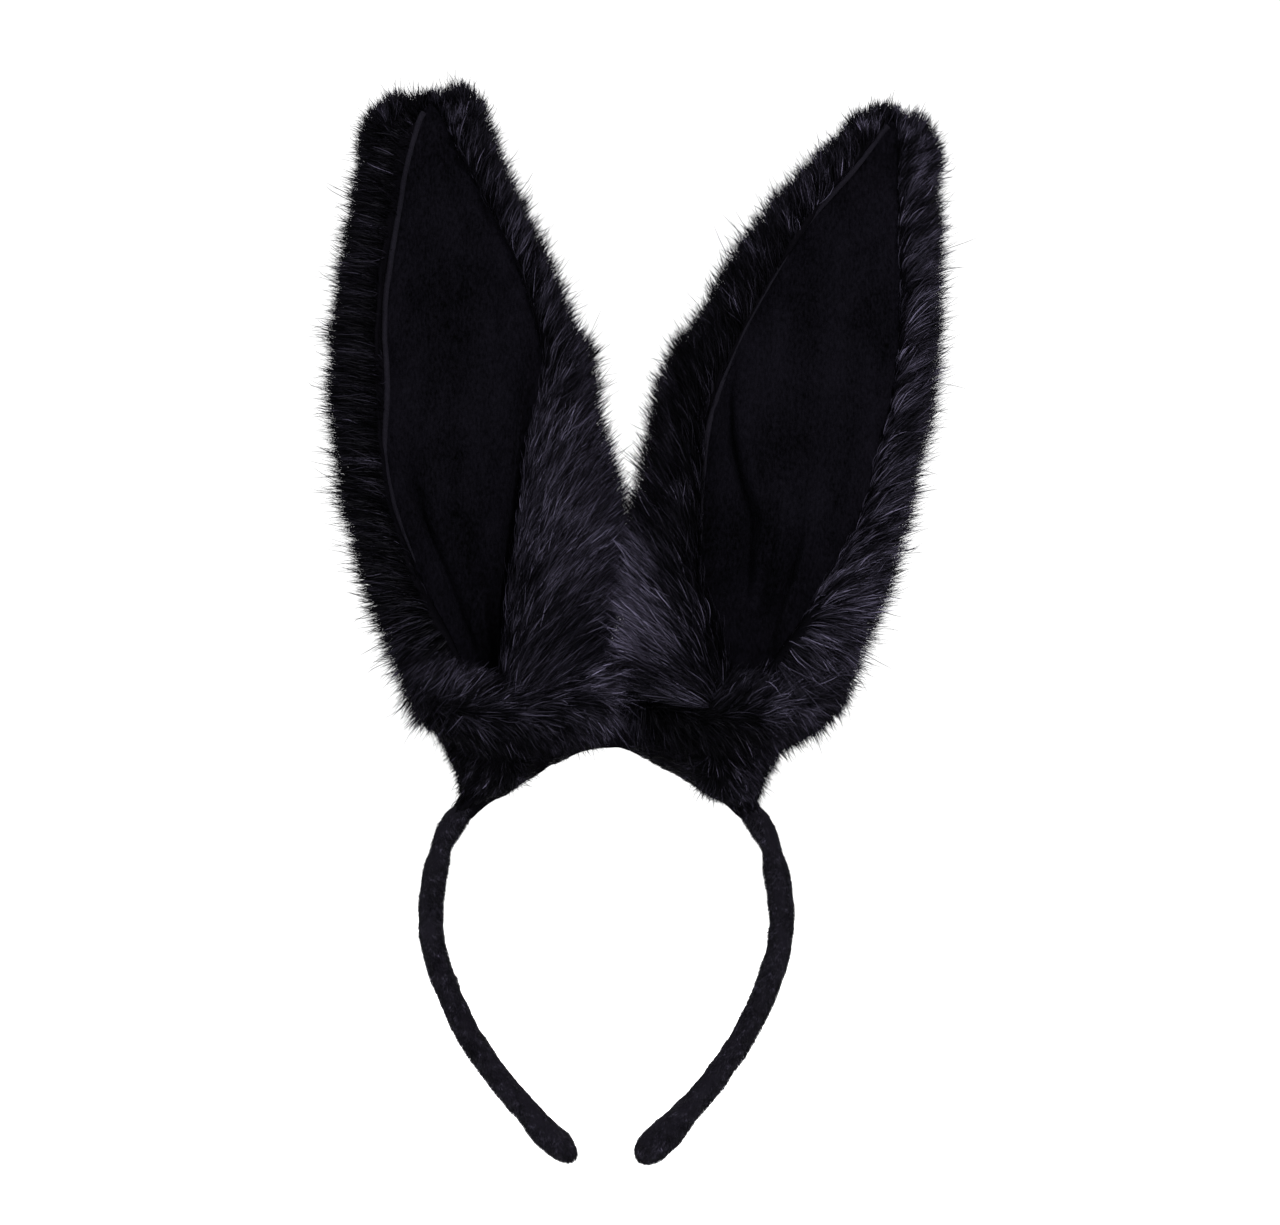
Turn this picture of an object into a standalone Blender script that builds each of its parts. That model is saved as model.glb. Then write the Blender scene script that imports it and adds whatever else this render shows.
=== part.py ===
"""Animal ears headband: two wired rabbit ears of long-pile faux fur with velvet
linings, standing in a fur cover on the crown of a sprung, velour-covered band.

Frame: the origin is the middle of the fur cover's flat underside, where the band
rests on the head. +Z is up, the ears' linings face -Y, and left and right are as
seen from the front, so the left ear is at -X. Lengths are in metres.

Run with: blender --background --python part.py
"""

import math

import bmesh
import bpy
from mathutils import Matrix, Vector

MM = 0.001

# Spring strip inside the band, split where its arms flex
BAND_HALF_WIDTH = 61.2 * MM
BAND_DROP = 143.5 * MM
CROWN_FLAT = 12.0 * MM
CORE_WIDTH = 6.0 * MM
CORE_THICKNESS = 1.4 * MM
FLEX_DISTANCE = 62.0 * MM
FLEX_GAP = 2.4 * MM

# The strip's half route from the crown to a tip, in shares of half width and drop
ROUTE_SHARES = (
    (0.364, 0.045),
    (0.662, 0.123),
    (0.846, 0.211),
    (0.935, 0.277),
    (1.000, 0.425),
    (0.988, 0.537),
    (0.927, 0.634),
    (0.843, 0.717),
    (0.735, 0.794),
    (0.530, 0.909),
    (0.290, 1.000),
)

# Coverings of the band
CROWN_SLEEVE_WALL = 1.0 * MM
CROWN_SLEEVE_WIDTH = 10.0 * MM
CROWN_SLEEVE_DEPTH = 5.0 * MM
ARM_SLEEVE_WALL = 2.2 * MM
ARM_SLEEVE_WIDTH = 12.0 * MM
ARM_SLEEVE_DEPTH = 8.4 * MM
TIP_PAD_LENGTH = 20.0 * MM
TIP_PAD_WIDTH = 15.0 * MM
LEFT_TIP_PAD_DEPTH = 12.8 * MM
RIGHT_TIP_PAD_DEPTH = 14.6 * MM

# Fur cover over the crown, a sack gathered round the band at both ends
COVER_WALL = 2.2 * MM
COVER_SLACK = 0.6 * MM
COVER_GATHER = 15.0 * MM
MOUTH_EASE = 1.06

# Ears
EAR_LENGTH = 210.5 * MM
EAR_HALF_WIDTH = 46.5 * MM
LEFT_LEAN = math.radians(6.8)
RIGHT_LEAN = math.radians(15.0)
EAR_PARTING = 7.5 * MM
EAR_PARTING_GAP = 1.2 * MM
EAR_BASE_CLEARANCE = 2.8 * MM
FOLD_HEIGHT = 118.0 * MM
FOLD_GAP = 6.4 * MM
FOLD_DEPTH = -6.5 * MM

# An ear's outline: share of its length, then inner and outer edge in shares of
# its half width
EAR_OUTLINE = (
    (0.00, 0.54, 0.72),
    (0.08, 0.76, 0.82),
    (0.22, 0.96, 0.95),
    (0.39, 0.94, 1.01),
    (0.55, 0.86, 0.99),
    (0.67, 0.74, 0.90),
    (0.79, 0.58, 0.78),
    (0.90, 0.40, 0.67),
    (0.97, 0.28, 0.52),
    (1.00, 0.14, 0.34),
)

# How deep the ear is dished, and where its middle lies in depth, high up and at
# its gathered base
EAR_DISH = 8.0 * MM
BASE_DISH = 26.0 * MM
EAR_BACK = 9.0 * MM
BASE_BACK = 13.0 * MM
GATHER_HEIGHT = 100.0 * MM
RIM_CURL = 4.0 * MM
RIM_SHARE = 0.80

# Layers of an ear, from the fur forwards
FUR_THICKNESS = 5.0 * MM
LAYER_GAP = 0.6 * MM
STIFFENER_THICKNESS = 1.6 * MM
LINING_THICKNESS = 1.2 * MM
WIRE_RADIUS = 0.8 * MM
STIFFENER_SHARE = 0.58
WIRE_SHARE = 0.71
LINING_SHARE = 0.77
STIFFENER_FOOT = 46.0 * MM
WIRE_FOOT_SHARE = 0.30
WIRE_TOP_MARGIN = 10.0 * MM
LINING_TOP_MARGIN = 5.0 * MM
STIFFENER_TOP_MARGIN = 15.0 * MM

CLEARANCE = 0.4 * MM

# Roundness of the band's sections: 2 is an ellipse and more is squarer
CORE_ROUNDNESS = 12.0
CROWN_SLEEVE_ROUNDNESS = 2.4
ARM_SLEEVE_ROUNDNESS = 2.3

# How finely the pieces are divided
SECTION_POINTS = 12
COVER_POINTS = 16
BAND_STEP = 7.0 * MM
WIRE_STEP = 7.0 * MM
COLUMN_STEP = 6.8 * MM
ROW_STEP = 10.0 * MM
HOOK_STEP = 20

# The cover clears the wires' hooks, which go round the crown's sleeve
COVER_HALF_WIDTH = (
    CROWN_SLEEVE_WIDTH / 2 + CLEARANCE + 2 * WIRE_RADIUS + COVER_SLACK + COVER_WALL
)

# Heights of the strip's crown, which is also the line the ears tilt about, and of
# the ears' bottom edges
CORE_HEIGHT = (
    CROWN_SLEEVE_DEPTH / 2 + CLEARANCE + 2 * WIRE_RADIUS + CLEARANCE + COVER_WALL
)
EAR_BASE = CORE_HEIGHT + COVER_HALF_WIDTH + EAR_BASE_CLEARANCE

# Where the front faces of an ear's layers lie, before its back
STIFFENER_FRONT = FUR_THICKNESS + LAYER_GAP + STIFFENER_THICKNESS
LINING_FRONT = STIFFENER_FRONT + LAYER_GAP + LINING_THICKNESS


# ---------------------------------------------------------------- scene helpers


def clear_scene():
    for item in list(bpy.data.objects):
        bpy.data.objects.remove(item)


def new_collection(name):
    found = bpy.data.collections.new(name)
    bpy.context.scene.collection.children.link(found)
    return found


def material(name, colour, roughness, metallic=0.0):
    made = bpy.data.materials.new(name)
    made.use_nodes = True
    shader = made.node_tree.nodes["Principled BSDF"]
    shader.inputs["Base Color"].default_value = (*colour, 1.0)
    shader.inputs["Roughness"].default_value = roughness
    shader.inputs["Metallic"].default_value = metallic
    return made


def add_object(name, data, look):
    made = bpy.data.objects.new(name, data)
    data.materials.append(look)
    parts.objects.link(made)
    return made


def mesh_object(name, form, look):
    mesh = bpy.data.meshes.new(name)
    form.to_mesh(mesh)
    form.free()
    mesh.shade_smooth()
    mesh.set_sharp_from_angle(angle=math.radians(40))
    return add_object(name, mesh, look)


def thicken(item, thickness, offset=-1.0):
    wall = item.modifiers.new("wall", "SOLIDIFY")
    wall.thickness = thickness
    wall.offset = offset


def joint_empty(name, place, parent=None):
    """An empty on a joint's axis, which the pieces that move with it hang from."""
    made = bpy.data.objects.new(name, None)
    made.empty_display_size = 10.0 * MM
    made.location = place
    parts.objects.link(made)
    if parent:
        hang(made, parent)
    return made


def hang(item, joint):
    """Parents an item to a joint's empty and leaves it where it is."""
    place = Matrix.Translation(joint.location)
    item.parent = joint
    item.matrix_parent_inverse = place.inverted()


def smoothstep(value):
    value = min(max(value, 0.0), 1.0)
    return value * value * (3.0 - 2.0 * value)


def read_rows(rows, place):
    """Smooth values at place, through rows of (place, value, value, ...)."""
    index = 0
    while index < len(rows) - 2 and place > rows[index + 1][0]:
        index += 1
    near, far = rows[index], rows[index + 1]
    before = rows[max(index - 1, 0)]
    after = rows[min(index + 2, len(rows) - 1)]
    span = far[0] - near[0]
    t = (place - near[0]) / span
    found = []
    for column in range(1, len(near)):
        start = (far[column] - before[column]) / (far[0] - before[0]) * span
        end = (after[column] - near[column]) / (after[0] - near[0]) * span
        found.append(
            (2 * t**3 - 3 * t**2 + 1) * near[column]
            + (t**3 - 2 * t**2 + t) * start
            + (3 * t**2 - 2 * t**3) * far[column]
            + (t**3 - t**2) * end
        )
    return found


# ------------------------------------------------------------------- band route


def band_rows():
    """The strip's whole route as rows of (distance, x, z), left tip to right."""
    half = [(CROWN_FLAT / 2, CORE_HEIGHT)]
    for across, down in ROUTE_SHARES:
        half.append((across * BAND_HALF_WIDTH, CORE_HEIGHT - down * BAND_DROP))
    distance = CROWN_FLAT / 2
    rows = [(distance, *half[0])]
    for (x0, z0), (x1, z1) in zip(half, half[1:]):
        distance += math.hypot(x1 - x0, z1 - z0)
        rows.append((distance, x1, z1))
    mirrored = [(-s, -x, z) for s, x, z in reversed(rows)]
    return mirrored + rows


def band_point(distance):
    x, z = read_rows(BAND_ROWS, distance)
    return Vector((x, 0.0, z))


def band_frame(distance):
    """The strip's point, its direction and its outward normal at a distance."""
    step = 0.5 * MM
    ahead = band_point(distance + step) - band_point(distance - step)
    along = Vector((1, 0, 0)) if abs(distance) <= CROWN_FLAT / 2 else ahead.normalized()
    outward = Vector((-along.z, 0.0, along.x))
    return band_point(distance), along, outward


def distance_at(x):
    """The distance along the crown at which the strip reaches x."""
    low, high = -FLEX_DISTANCE, FLEX_DISTANCE
    for _ in range(40):
        middle = (low + high) / 2
        if band_point(middle).x < x:
            low = middle
        else:
            high = middle
    return (low + high) / 2


def spaced(start, end, step):
    count = max(1, round(abs(end - start) / step))
    return [start + (end - start) * i / count for i in range(count + 1)]


def crown_distances(end):
    right = spaced(CROWN_FLAT / 2, end, BAND_STEP)
    return [-s for s in reversed(right)] + right


def arm_distances(side):
    """Down an arm from its flex line to the end of its sleeve."""
    end = BAND_ROWS[-1][0] - TIP_PAD_LENGTH / 2 - CLEARANCE
    return spaced(side * (FLEX_DISTANCE + FLEX_GAP / 2), side * end, BAND_STEP)


# ------------------------------------------------------------------- band parts


def section(name, width, depth, roundness):
    """A closed guide curve: width along Y, depth across the band. An edge of it faces
    straight down."""
    curve = bpy.data.curves.new(name, "CURVE")
    spline = curve.splines.new("POLY")
    spline.points.add(SECTION_POINTS - 1)
    for i, point in enumerate(spline.points):
        angle = 2 * math.pi * (i + 0.5) / SECTION_POINTS
        sine, cosine = math.sin(angle), math.cos(angle)
        power = 2.0 / roundness
        x = math.copysign(abs(sine) ** power, sine) * width / 2
        y = math.copysign(abs(cosine) ** power, cosine) * depth / 2
        point.co = (x, y, 0.0, 1.0)
    spline.use_cyclic_u = True
    guide = bpy.data.objects.new(name, curve)
    guide.hide_render = True
    guide.display_type = "WIRE"
    guides.objects.link(guide)
    return guide


def band_curve(name, distances, guide, look, caps):
    curve = bpy.data.curves.new(name, "CURVE")
    curve.dimensions = "3D"
    curve.twist_mode = "MINIMUM"
    curve.bevel_mode = "OBJECT"
    curve.bevel_object = guide
    curve.use_fill_caps = caps
    spline = curve.splines.new("POLY")
    spline.points.add(len(distances) - 1)
    for point, distance in zip(spline.points, distances):
        point.co = (*band_point(distance), 1.0)
    return add_object(name, curve, look)


def make_core():
    crown_end = FLEX_DISTANCE - FLEX_GAP / 2
    strip = section("core_section", CORE_WIDTH, CORE_THICKNESS, CORE_ROUNDNESS)
    band_curve("crown_core", crown_distances(crown_end), strip, steel, caps=True)
    for side, word in SIDES:
        arm = arm_distances(side) + [side * BAND_ROWS[-1][0]]
        hang(band_curve(f"{word}_arm_core", arm, strip, steel, caps=True), flexes[word])


def make_sleeves():
    crown_end = FLEX_DISTANCE - FLEX_GAP / 2
    inner = section("crown_sleeve_section", CROWN_SLEEVE_WIDTH, CROWN_SLEEVE_DEPTH,
                    CROWN_SLEEVE_ROUNDNESS)
    crown = band_curve("crown_sleeve", crown_distances(crown_end), inner, velour, caps=False)
    thicken(crown, CROWN_SLEEVE_WALL)
    outer = section("arm_sleeve_section", ARM_SLEEVE_WIDTH, ARM_SLEEVE_DEPTH,
                    ARM_SLEEVE_ROUNDNESS)
    for side, word in SIDES:
        sleeve = band_curve(f"{word}_arm_sleeve", arm_distances(side), outer, velour, caps=False)
        thicken(sleeve, ARM_SLEEVE_WALL)
        hang(sleeve, flexes[word])


def pocket_cutter(name, centre, turn):
    """A slot for the strip's end, open towards the arm."""
    form = bmesh.new()
    bmesh.ops.create_cube(form, size=1.0)
    length = TIP_PAD_LENGTH
    size = Matrix.Diagonal(
        (length, CORE_WIDTH + 2 * CLEARANCE, CORE_THICKNESS + 2 * CLEARANCE, 1.0)
    )
    shift = Matrix.Translation((2 * CLEARANCE - length / 2, 0, 0))
    bmesh.ops.transform(form, matrix=shift @ size, verts=form.verts)
    mesh = bpy.data.meshes.new(name)
    form.to_mesh(mesh)
    form.free()
    cutter = bpy.data.objects.new(name, mesh)
    cutter.matrix_world = Matrix.Translation(centre) @ turn
    cutter.hide_render = True
    cutter.display_type = "WIRE"
    guides.objects.link(cutter)
    return cutter


def make_tip_pad(side, word, depth):
    """A padded bulb over the end of an arm. Its long axis follows the strip."""
    centre = band_point(side * BAND_ROWS[-1][0])
    along = (centre - band_point(arm_distances(side)[-1])).normalized()
    turn = Matrix((along, (0, 1, 0), along.cross(Vector((0, 1, 0))))).transposed()
    form = bmesh.new()
    bmesh.ops.create_uvsphere(form, u_segments=16, v_segments=10, radius=0.5)
    size = Matrix.Diagonal((TIP_PAD_LENGTH, TIP_PAD_WIDTH, depth, 1.0))
    bmesh.ops.transform(form, matrix=size, verts=form.verts)
    pad = mesh_object(f"{word}_tip_pad", form, velour)
    pad.matrix_world = Matrix.Translation(centre) @ turn.to_4x4()
    cut = pad.modifiers.new("pocket", "BOOLEAN")
    cut.object = pocket_cutter(f"{word}_tip_pocket", centre, turn.to_4x4())
    hang(pad, flexes[word])


# ---------------------------------------------------------------- crown's cover


def cover_ring(distance):
    """A closed section of the fur cover, square to the strip. Its underside follows
    the strip, and its top lies on one round ridge about the ears' tilt line."""
    centre, _, outward = band_frame(distance)
    ring = []
    for i in range(COVER_POINTS):
        angle = 2 * math.pi * (i + 0.5) / COVER_POINTS
        sine, cosine = math.sin(angle), math.cos(angle)
        if cosine > 0:
            height = CORE_HEIGHT + COVER_HALF_WIDTH * cosine
            rise = (height - centre.z) / outward.z
        else:
            rise = CORE_HEIGHT * cosine / math.cos(math.pi / COVER_POINTS)
        ring.append(centre + outward * rise + Vector((0, COVER_HALF_WIDTH * sine, 0)))
    return ring


def mouth_ring(distance):
    """The gathered mouth of the cover, close round the crown's sleeve."""
    centre, _, outward = band_frame(distance)
    half_depth = (CROWN_SLEEVE_DEPTH / 2 + CLEARANCE + COVER_WALL) * MOUTH_EASE
    half_width = (CROWN_SLEEVE_WIDTH / 2 + CLEARANCE + COVER_WALL) * MOUTH_EASE
    ring = []
    for i in range(COVER_POINTS):
        angle = 2 * math.pi * (i + 0.5) / COVER_POINTS
        rise, sweep = math.cos(angle) * half_depth, math.sin(angle) * half_width
        ring.append(centre + outward * rise + Vector((0, sweep, 0)))
    return ring


def make_cover():
    end = FLEX_DISTANCE - FLEX_GAP / 2
    body_end = end - COVER_GATHER
    rings = [mouth_ring(-end), mouth_ring(-(body_end + end) / 2)]
    rings += [cover_ring(s) for s in crown_distances(body_end)]
    rings += [mouth_ring((body_end + end) / 2), mouth_ring(end)]
    form = bmesh.new()
    loops = [[form.verts.new(point) for point in ring] for ring in rings]
    for near, far in zip(loops, loops[1:]):
        for i in range(COVER_POINTS):
            j = (i + 1) % COVER_POINTS
            form.faces.new((near[i], near[j], far[j], far[i]))
    bmesh.ops.recalc_face_normals(form, faces=form.faces)
    thicken(mesh_object("crown_fur_cover", form, fur), COVER_WALL)


# ------------------------------------------------------------------------- ears


class Ear:
    """One ear's place and its dished surface."""

    def __init__(self, side, word, lean):
        self.side, self.word, self.lean = side, word, lean
        self.base_x = 0.0
        edge = [self.surface(-1.0, h).x * side for h in spaced(0.0, EAR_LENGTH, MM)]
        self.base_x = side * (EAR_PARTING_GAP / 2 - min(edge)) + EAR_PARTING
        tilt_place = Vector((self.base_x, 0.0, CORE_HEIGHT))
        self.tilt = joint_empty(f"{word}_ear_tilt", tilt_place)
        fold_place = self.place(0.0, FOLD_DEPTH, FOLD_HEIGHT)
        self.fold = joint_empty(f"{word}_ear_fold", fold_place, self.tilt)

    def lean_across(self, across, height):
        """How far outwards from the base a point of the ear lies."""
        return across * math.cos(self.lean) + height * math.sin(self.lean)

    def place(self, across, depth, height):
        """World place of a point: across is outwards, depth is towards the back."""
        x = self.base_x + self.side * self.lean_across(across, height)
        z = EAR_BASE + height * math.cos(self.lean) - across * math.sin(self.lean)
        return Vector((x, depth, z))

    def local(self, share, height):
        """(across, depth) of the ear's back, share running from -1 to 1."""
        inner, outer = read_rows(EAR_OUTLINE, height / EAR_LENGTH)
        inner, outer = inner * EAR_HALF_WIDTH, outer * EAR_HALF_WIDTH
        across = (outer - inner) / 2 + share * (outer + inner) / 2
        gather = 1.0 - smoothstep(height / GATHER_HEIGHT)
        dish = EAR_DISH + (BASE_DISH - EAR_DISH) * gather
        middle = EAR_BACK + (BASE_BACK - EAR_BACK) * gather
        curl = RIM_CURL * max(0.0, (abs(share) - RIM_SHARE) / (1 - RIM_SHARE)) ** 2
        return across, middle - dish * share * share - curl

    def surface(self, share, height):
        """World place on the ear's back. Rows near the base rise or fall so that the
        bottom edge is level."""
        across, depth = self.local(share, max(height, 0.0))
        level = across * math.tan(self.lean) * (1.0 - smoothstep(height / GATHER_HEIGHT))
        return self.place(across, depth, height + level)

    def normal(self, share, height):
        """Unit direction from the back surface towards the front."""
        step = 0.01
        wide = self.surface(share + step, height) - self.surface(share - step, height)
        tall = self.surface(share, height + MM) - self.surface(share, height - MM)
        return (wide.cross(tall) * self.side).normalized()


def ear_sheet(ear, name, reach, low, high, look, front, thickness):
    """A layer of the ear: reach is its half width in shares, and front is how far
    its front face stands before the ear's back."""
    columns = len(spaced(0.0, 2 * reach * EAR_HALF_WIDTH, COLUMN_STEP)) - 1
    rows = len(spaced(low, high, ROW_STEP)) - 1
    form = bmesh.new()
    bmesh.ops.create_grid(form, x_segments=columns, y_segments=rows, size=1.0)
    for vertex in form.verts:
        share = vertex.co.x * reach * ear.side
        height = low + (high - low) * (vertex.co.y + 1.0) / 2.0
        vertex.co = ear.surface(share, height)
    layer = mesh_object(name, form, look)
    push = layer.modifiers.new("front", "DISPLACE")
    push.strength = front
    push.mid_level = 0.0
    thicken(layer, thickness)
    hang(layer, ear.fold if low > FOLD_HEIGHT else ear.tilt)


def wire(name, points, look):
    curve = bpy.data.curves.new(name, "CURVE")
    curve.dimensions = "3D"
    curve.bevel_depth = WIRE_RADIUS
    curve.bevel_resolution = 2
    curve.use_fill_caps = True
    spline = curve.splines.new("POLY")
    spline.points.add(len(points) - 1)
    for point, place in zip(spline.points, points):
        point.co = (*place, 1.0)
    return add_object(name, curve, look)


def wire_point(ear, share, height):
    """A point of the wire, which lies in the stiffener's layer."""
    lift = FUR_THICKNESS + LAYER_GAP + WIRE_RADIUS
    return ear.surface(share, height) + ear.normal(share, height) * lift


def leg_share(height):
    """The wire's legs draw together below the stiffener's foot."""
    rise = smoothstep(height / STIFFENER_FOOT)
    return WIRE_FOOT_SHARE + (WIRE_SHARE - WIRE_FOOT_SHARE) * rise


def make_lower_ear(ear):
    name = f"{ear.word}_ear"
    top = FOLD_HEIGHT - FOLD_GAP / 2
    ear_sheet(ear, f"{name}_fur_lower", 1.0, 0.0, top, fur, FUR_THICKNESS,
              FUR_THICKNESS)
    ear_sheet(ear, f"{name}_stiffener_lower", STIFFENER_SHARE, STIFFENER_FOOT, top,
              buckram, STIFFENER_FRONT, STIFFENER_THICKNESS)
    ear_sheet(ear, f"{name}_lining_lower", LINING_SHARE, 0.0, top, velvet,
              LINING_FRONT, LINING_THICKNESS)
    for way, leg in ((-1, "inner"), (1, "outer")):
        heights = spaced(0.0, top, WIRE_STEP)
        route = [wire_point(ear, way * leg_share(h), h) for h in heights]
        hang(wire(f"{name}_wire_leg_{leg}", route, galvanised), ear.tilt)


def make_upper_ear(ear):
    name = f"{ear.word}_ear"
    low = FOLD_HEIGHT + FOLD_GAP / 2
    ear_sheet(ear, f"{name}_fur_upper", 1.0, low, EAR_LENGTH, fur, FUR_THICKNESS,
              FUR_THICKNESS)
    ear_sheet(ear, f"{name}_stiffener_upper", STIFFENER_SHARE, low,
              EAR_LENGTH - STIFFENER_TOP_MARGIN, buckram, STIFFENER_FRONT,
              STIFFENER_THICKNESS)
    ear_sheet(ear, f"{name}_lining_upper", LINING_SHARE, low,
              EAR_LENGTH - LINING_TOP_MARGIN, velvet, LINING_FRONT, LINING_THICKNESS)
    top = EAR_LENGTH - WIRE_TOP_MARGIN
    side_heights = spaced(low, top, WIRE_STEP)
    route = [wire_point(ear, -WIRE_SHARE, h) for h in side_heights]
    route += [wire_point(ear, share, top) for share in (-0.4, 0.0, 0.4)]
    route += [wire_point(ear, WIRE_SHARE, h) for h in reversed(side_heights)]
    hang(wire(f"{name}_wire_arch", route, galvanised), ear.fold)


def make_wire_foot(ear, way, leg):
    """The end of a leg: a stem inside the cover, bent into a hook round the band. It
    stands under its leg, or at the gathered end of the cover where that is nearer."""
    across, _ = ear.local(way * WIRE_FOOT_SHARE, 0.0)
    x = ear.place(across, 0.0, 0.0).x
    limit = FLEX_DISTANCE - FLEX_GAP / 2 - COVER_GATHER
    distance = min(max(distance_at(x), -limit), limit)
    centre, _, outward = band_frame(distance)
    stand_off = CLEARANCE + WIRE_RADIUS
    half_depth = CROWN_SLEEVE_DEPTH / 2 + stand_off
    half_width = CROWN_SLEEVE_WIDTH / 2 + stand_off
    route = []
    for degrees in range(240, 0, -HOOK_STEP):
        angle = math.radians(degrees)
        rise, sweep = math.cos(angle) * half_depth, math.sin(angle) * half_width
        route.append(centre + outward * rise + Vector((0, sweep, 0)))
    ceiling = CORE_HEIGHT + COVER_HALF_WIDTH - COVER_WALL - 2 * CLEARANCE - WIRE_RADIUS
    last = route[-1]
    route.append(Vector((last.x, 0.0, (last.z + ceiling) / 2)))
    route.append(Vector((last.x, 0.0, ceiling)))
    wire(f"{ear.word}_ear_wire_foot_{leg}", route, galvanised)


# ------------------------------------------------------------------------ build


SIDES = ((-1, "left"), (1, "right"))

clear_scene()
parts = new_collection("animal_ears_headband")
guides = new_collection("guides")
fur = material("black_long_pile_fur", (0.012, 0.011, 0.016), 0.75)
velvet = material("black_velvet", (0.010, 0.009, 0.012), 0.85)
velour = material("black_velour", (0.014, 0.012, 0.020), 0.80)
buckram = material("black_buckram", (0.030, 0.030, 0.032), 0.90)
steel = material("spring_steel", (0.42, 0.42, 0.44), 0.35, 1.0)
galvanised = material("galvanised_wire", (0.55, 0.56, 0.58), 0.40, 1.0)
BAND_ROWS = band_rows()
flexes = {
    word: joint_empty(f"{word}_arm_flex", band_point(side * FLEX_DISTANCE))
    for side, word in SIDES
}

make_core()
make_sleeves()
make_tip_pad(-1, "left", LEFT_TIP_PAD_DEPTH)
make_tip_pad(1, "right", RIGHT_TIP_PAD_DEPTH)
make_cover()
for ear_side, ear_word, ear_lean in ((-1, "left", LEFT_LEAN), (1, "right", RIGHT_LEAN)):
    one = Ear(ear_side, ear_word, ear_lean)
    make_lower_ear(one)
    make_upper_ear(one)
    make_wire_foot(one, -1, "inner")
    make_wire_foot(one, 1, "outer")
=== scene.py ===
"""Visual model of the animal ears headband: faux-fur rabbit ears with velvet linings on
a sprung band in black velour.

Lengths are in metres in the row frame: +Z up, the linings face -Y, left is -X.
"""

import math

import bmesh
import bpy
import numpy as np
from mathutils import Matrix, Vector, noise


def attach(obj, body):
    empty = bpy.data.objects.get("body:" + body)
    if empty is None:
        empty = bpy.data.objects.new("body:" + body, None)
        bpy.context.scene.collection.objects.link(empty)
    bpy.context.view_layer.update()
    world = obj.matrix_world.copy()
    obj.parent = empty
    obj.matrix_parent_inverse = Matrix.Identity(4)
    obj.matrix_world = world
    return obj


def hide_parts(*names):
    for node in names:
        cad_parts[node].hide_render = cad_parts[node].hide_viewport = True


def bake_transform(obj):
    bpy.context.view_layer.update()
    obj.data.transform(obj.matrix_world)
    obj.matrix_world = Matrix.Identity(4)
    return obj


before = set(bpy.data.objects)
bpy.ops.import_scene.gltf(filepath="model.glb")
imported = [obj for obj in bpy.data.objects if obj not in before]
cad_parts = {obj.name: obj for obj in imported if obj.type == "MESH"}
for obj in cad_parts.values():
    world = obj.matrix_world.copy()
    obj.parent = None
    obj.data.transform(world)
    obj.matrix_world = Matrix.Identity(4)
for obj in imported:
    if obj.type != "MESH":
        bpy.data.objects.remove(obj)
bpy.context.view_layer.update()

MM = 0.001
X, Y, Z = 0, 1, 2
SIDES = ((-1, "left"), (1, "right"))

# ---- sizes shared with the CAD

BAND_HALF_WIDTH = 61.2 * MM
BAND_DROP = 143.5 * MM
CROWN_FLAT = 12.0 * MM
FLEX_DISTANCE = 62.0 * MM
ROUTE_SHARES = (
    (0.364, 0.045), (0.662, 0.123), (0.846, 0.211), (0.935, 0.277), (1.000, 0.425),
    (0.988, 0.537), (0.927, 0.634), (0.843, 0.717), (0.735, 0.794), (0.530, 0.909),
    (0.290, 1.000),
)
CORE_HEIGHT = 7.1 * MM
EAR_BASE = 19.7 * MM
EAR_LENGTH = 210.5 * MM
EAR_HALF_WIDTH = 46.5 * MM
EAR_PARTING = 7.5 * MM
EAR_PARTING_GAP = 1.2 * MM
FOLD_HEIGHT = 118.0 * MM
EAR_OUTLINE = (
    (0.00, 0.54, 0.72), (0.08, 0.76, 0.82), (0.22, 0.96, 0.95), (0.39, 0.94, 1.01),
    (0.55, 0.86, 0.99), (0.67, 0.74, 0.90), (0.79, 0.58, 0.78), (0.90, 0.40, 0.67),
    (0.97, 0.28, 0.52), (1.00, 0.14, 0.34),
)
EAR_DISH = 8.0 * MM
BASE_DISH = 26.0 * MM
EAR_BACK = 9.0 * MM
BASE_BACK = 13.0 * MM
GATHER_HEIGHT = 100.0 * MM
RIM_CURL = 4.0 * MM
RIM_SHARE = 0.80
EDGE_SAMPLES = 212
LEANS = {"left": math.radians(6.8), "right": math.radians(15.0)}


# ---- the hide's thickness

HIDE_THICKNESS = 0.8 * MM


# ---- number helpers


def smoothstep(value):
    value = np.clip(value, 0.0, 1.0)
    return value * value * (3.0 - 2.0 * value)


def ramp(value, start, end):
    return smoothstep((value - start) / (end - start))


def bell(value, centre, width):
    return np.exp(-(((value - centre) / width) ** 2))


def unit(vectors):
    size = np.linalg.norm(vectors, axis=-1, keepdims=True)
    return vectors / np.maximum(size, 1e-12)


def read_rows(rows, places):
    """Smooth values at many places, through rows of (place, value, value, ...)."""
    rows = np.asarray(rows, float)
    places = np.asarray(places, float)
    index = np.clip(np.searchsorted(rows[:, 0], places) - 1, 0, len(rows) - 2)
    before = rows[np.maximum(index - 1, 0)]
    near, far = rows[index], rows[index + 1]
    after = rows[np.minimum(index + 2, len(rows) - 1)]
    span = far[..., 0] - near[..., 0]
    t = (places - near[..., 0]) / span
    found = []
    for c in range(1, rows.shape[1]):
        start = (far[..., c] - before[..., c]) / (far[..., 0] - before[..., 0]) * span
        end = (after[..., c] - near[..., c]) / (after[..., 0] - near[..., 0]) * span
        found.append(
            (2 * t**3 - 3 * t**2 + 1) * near[..., c]
            + (t**3 - 2 * t**2 + t) * start
            + (3 * t**2 - 2 * t**3) * far[..., c]
            + (t**3 - t**2) * end
        )
    return found


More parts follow.
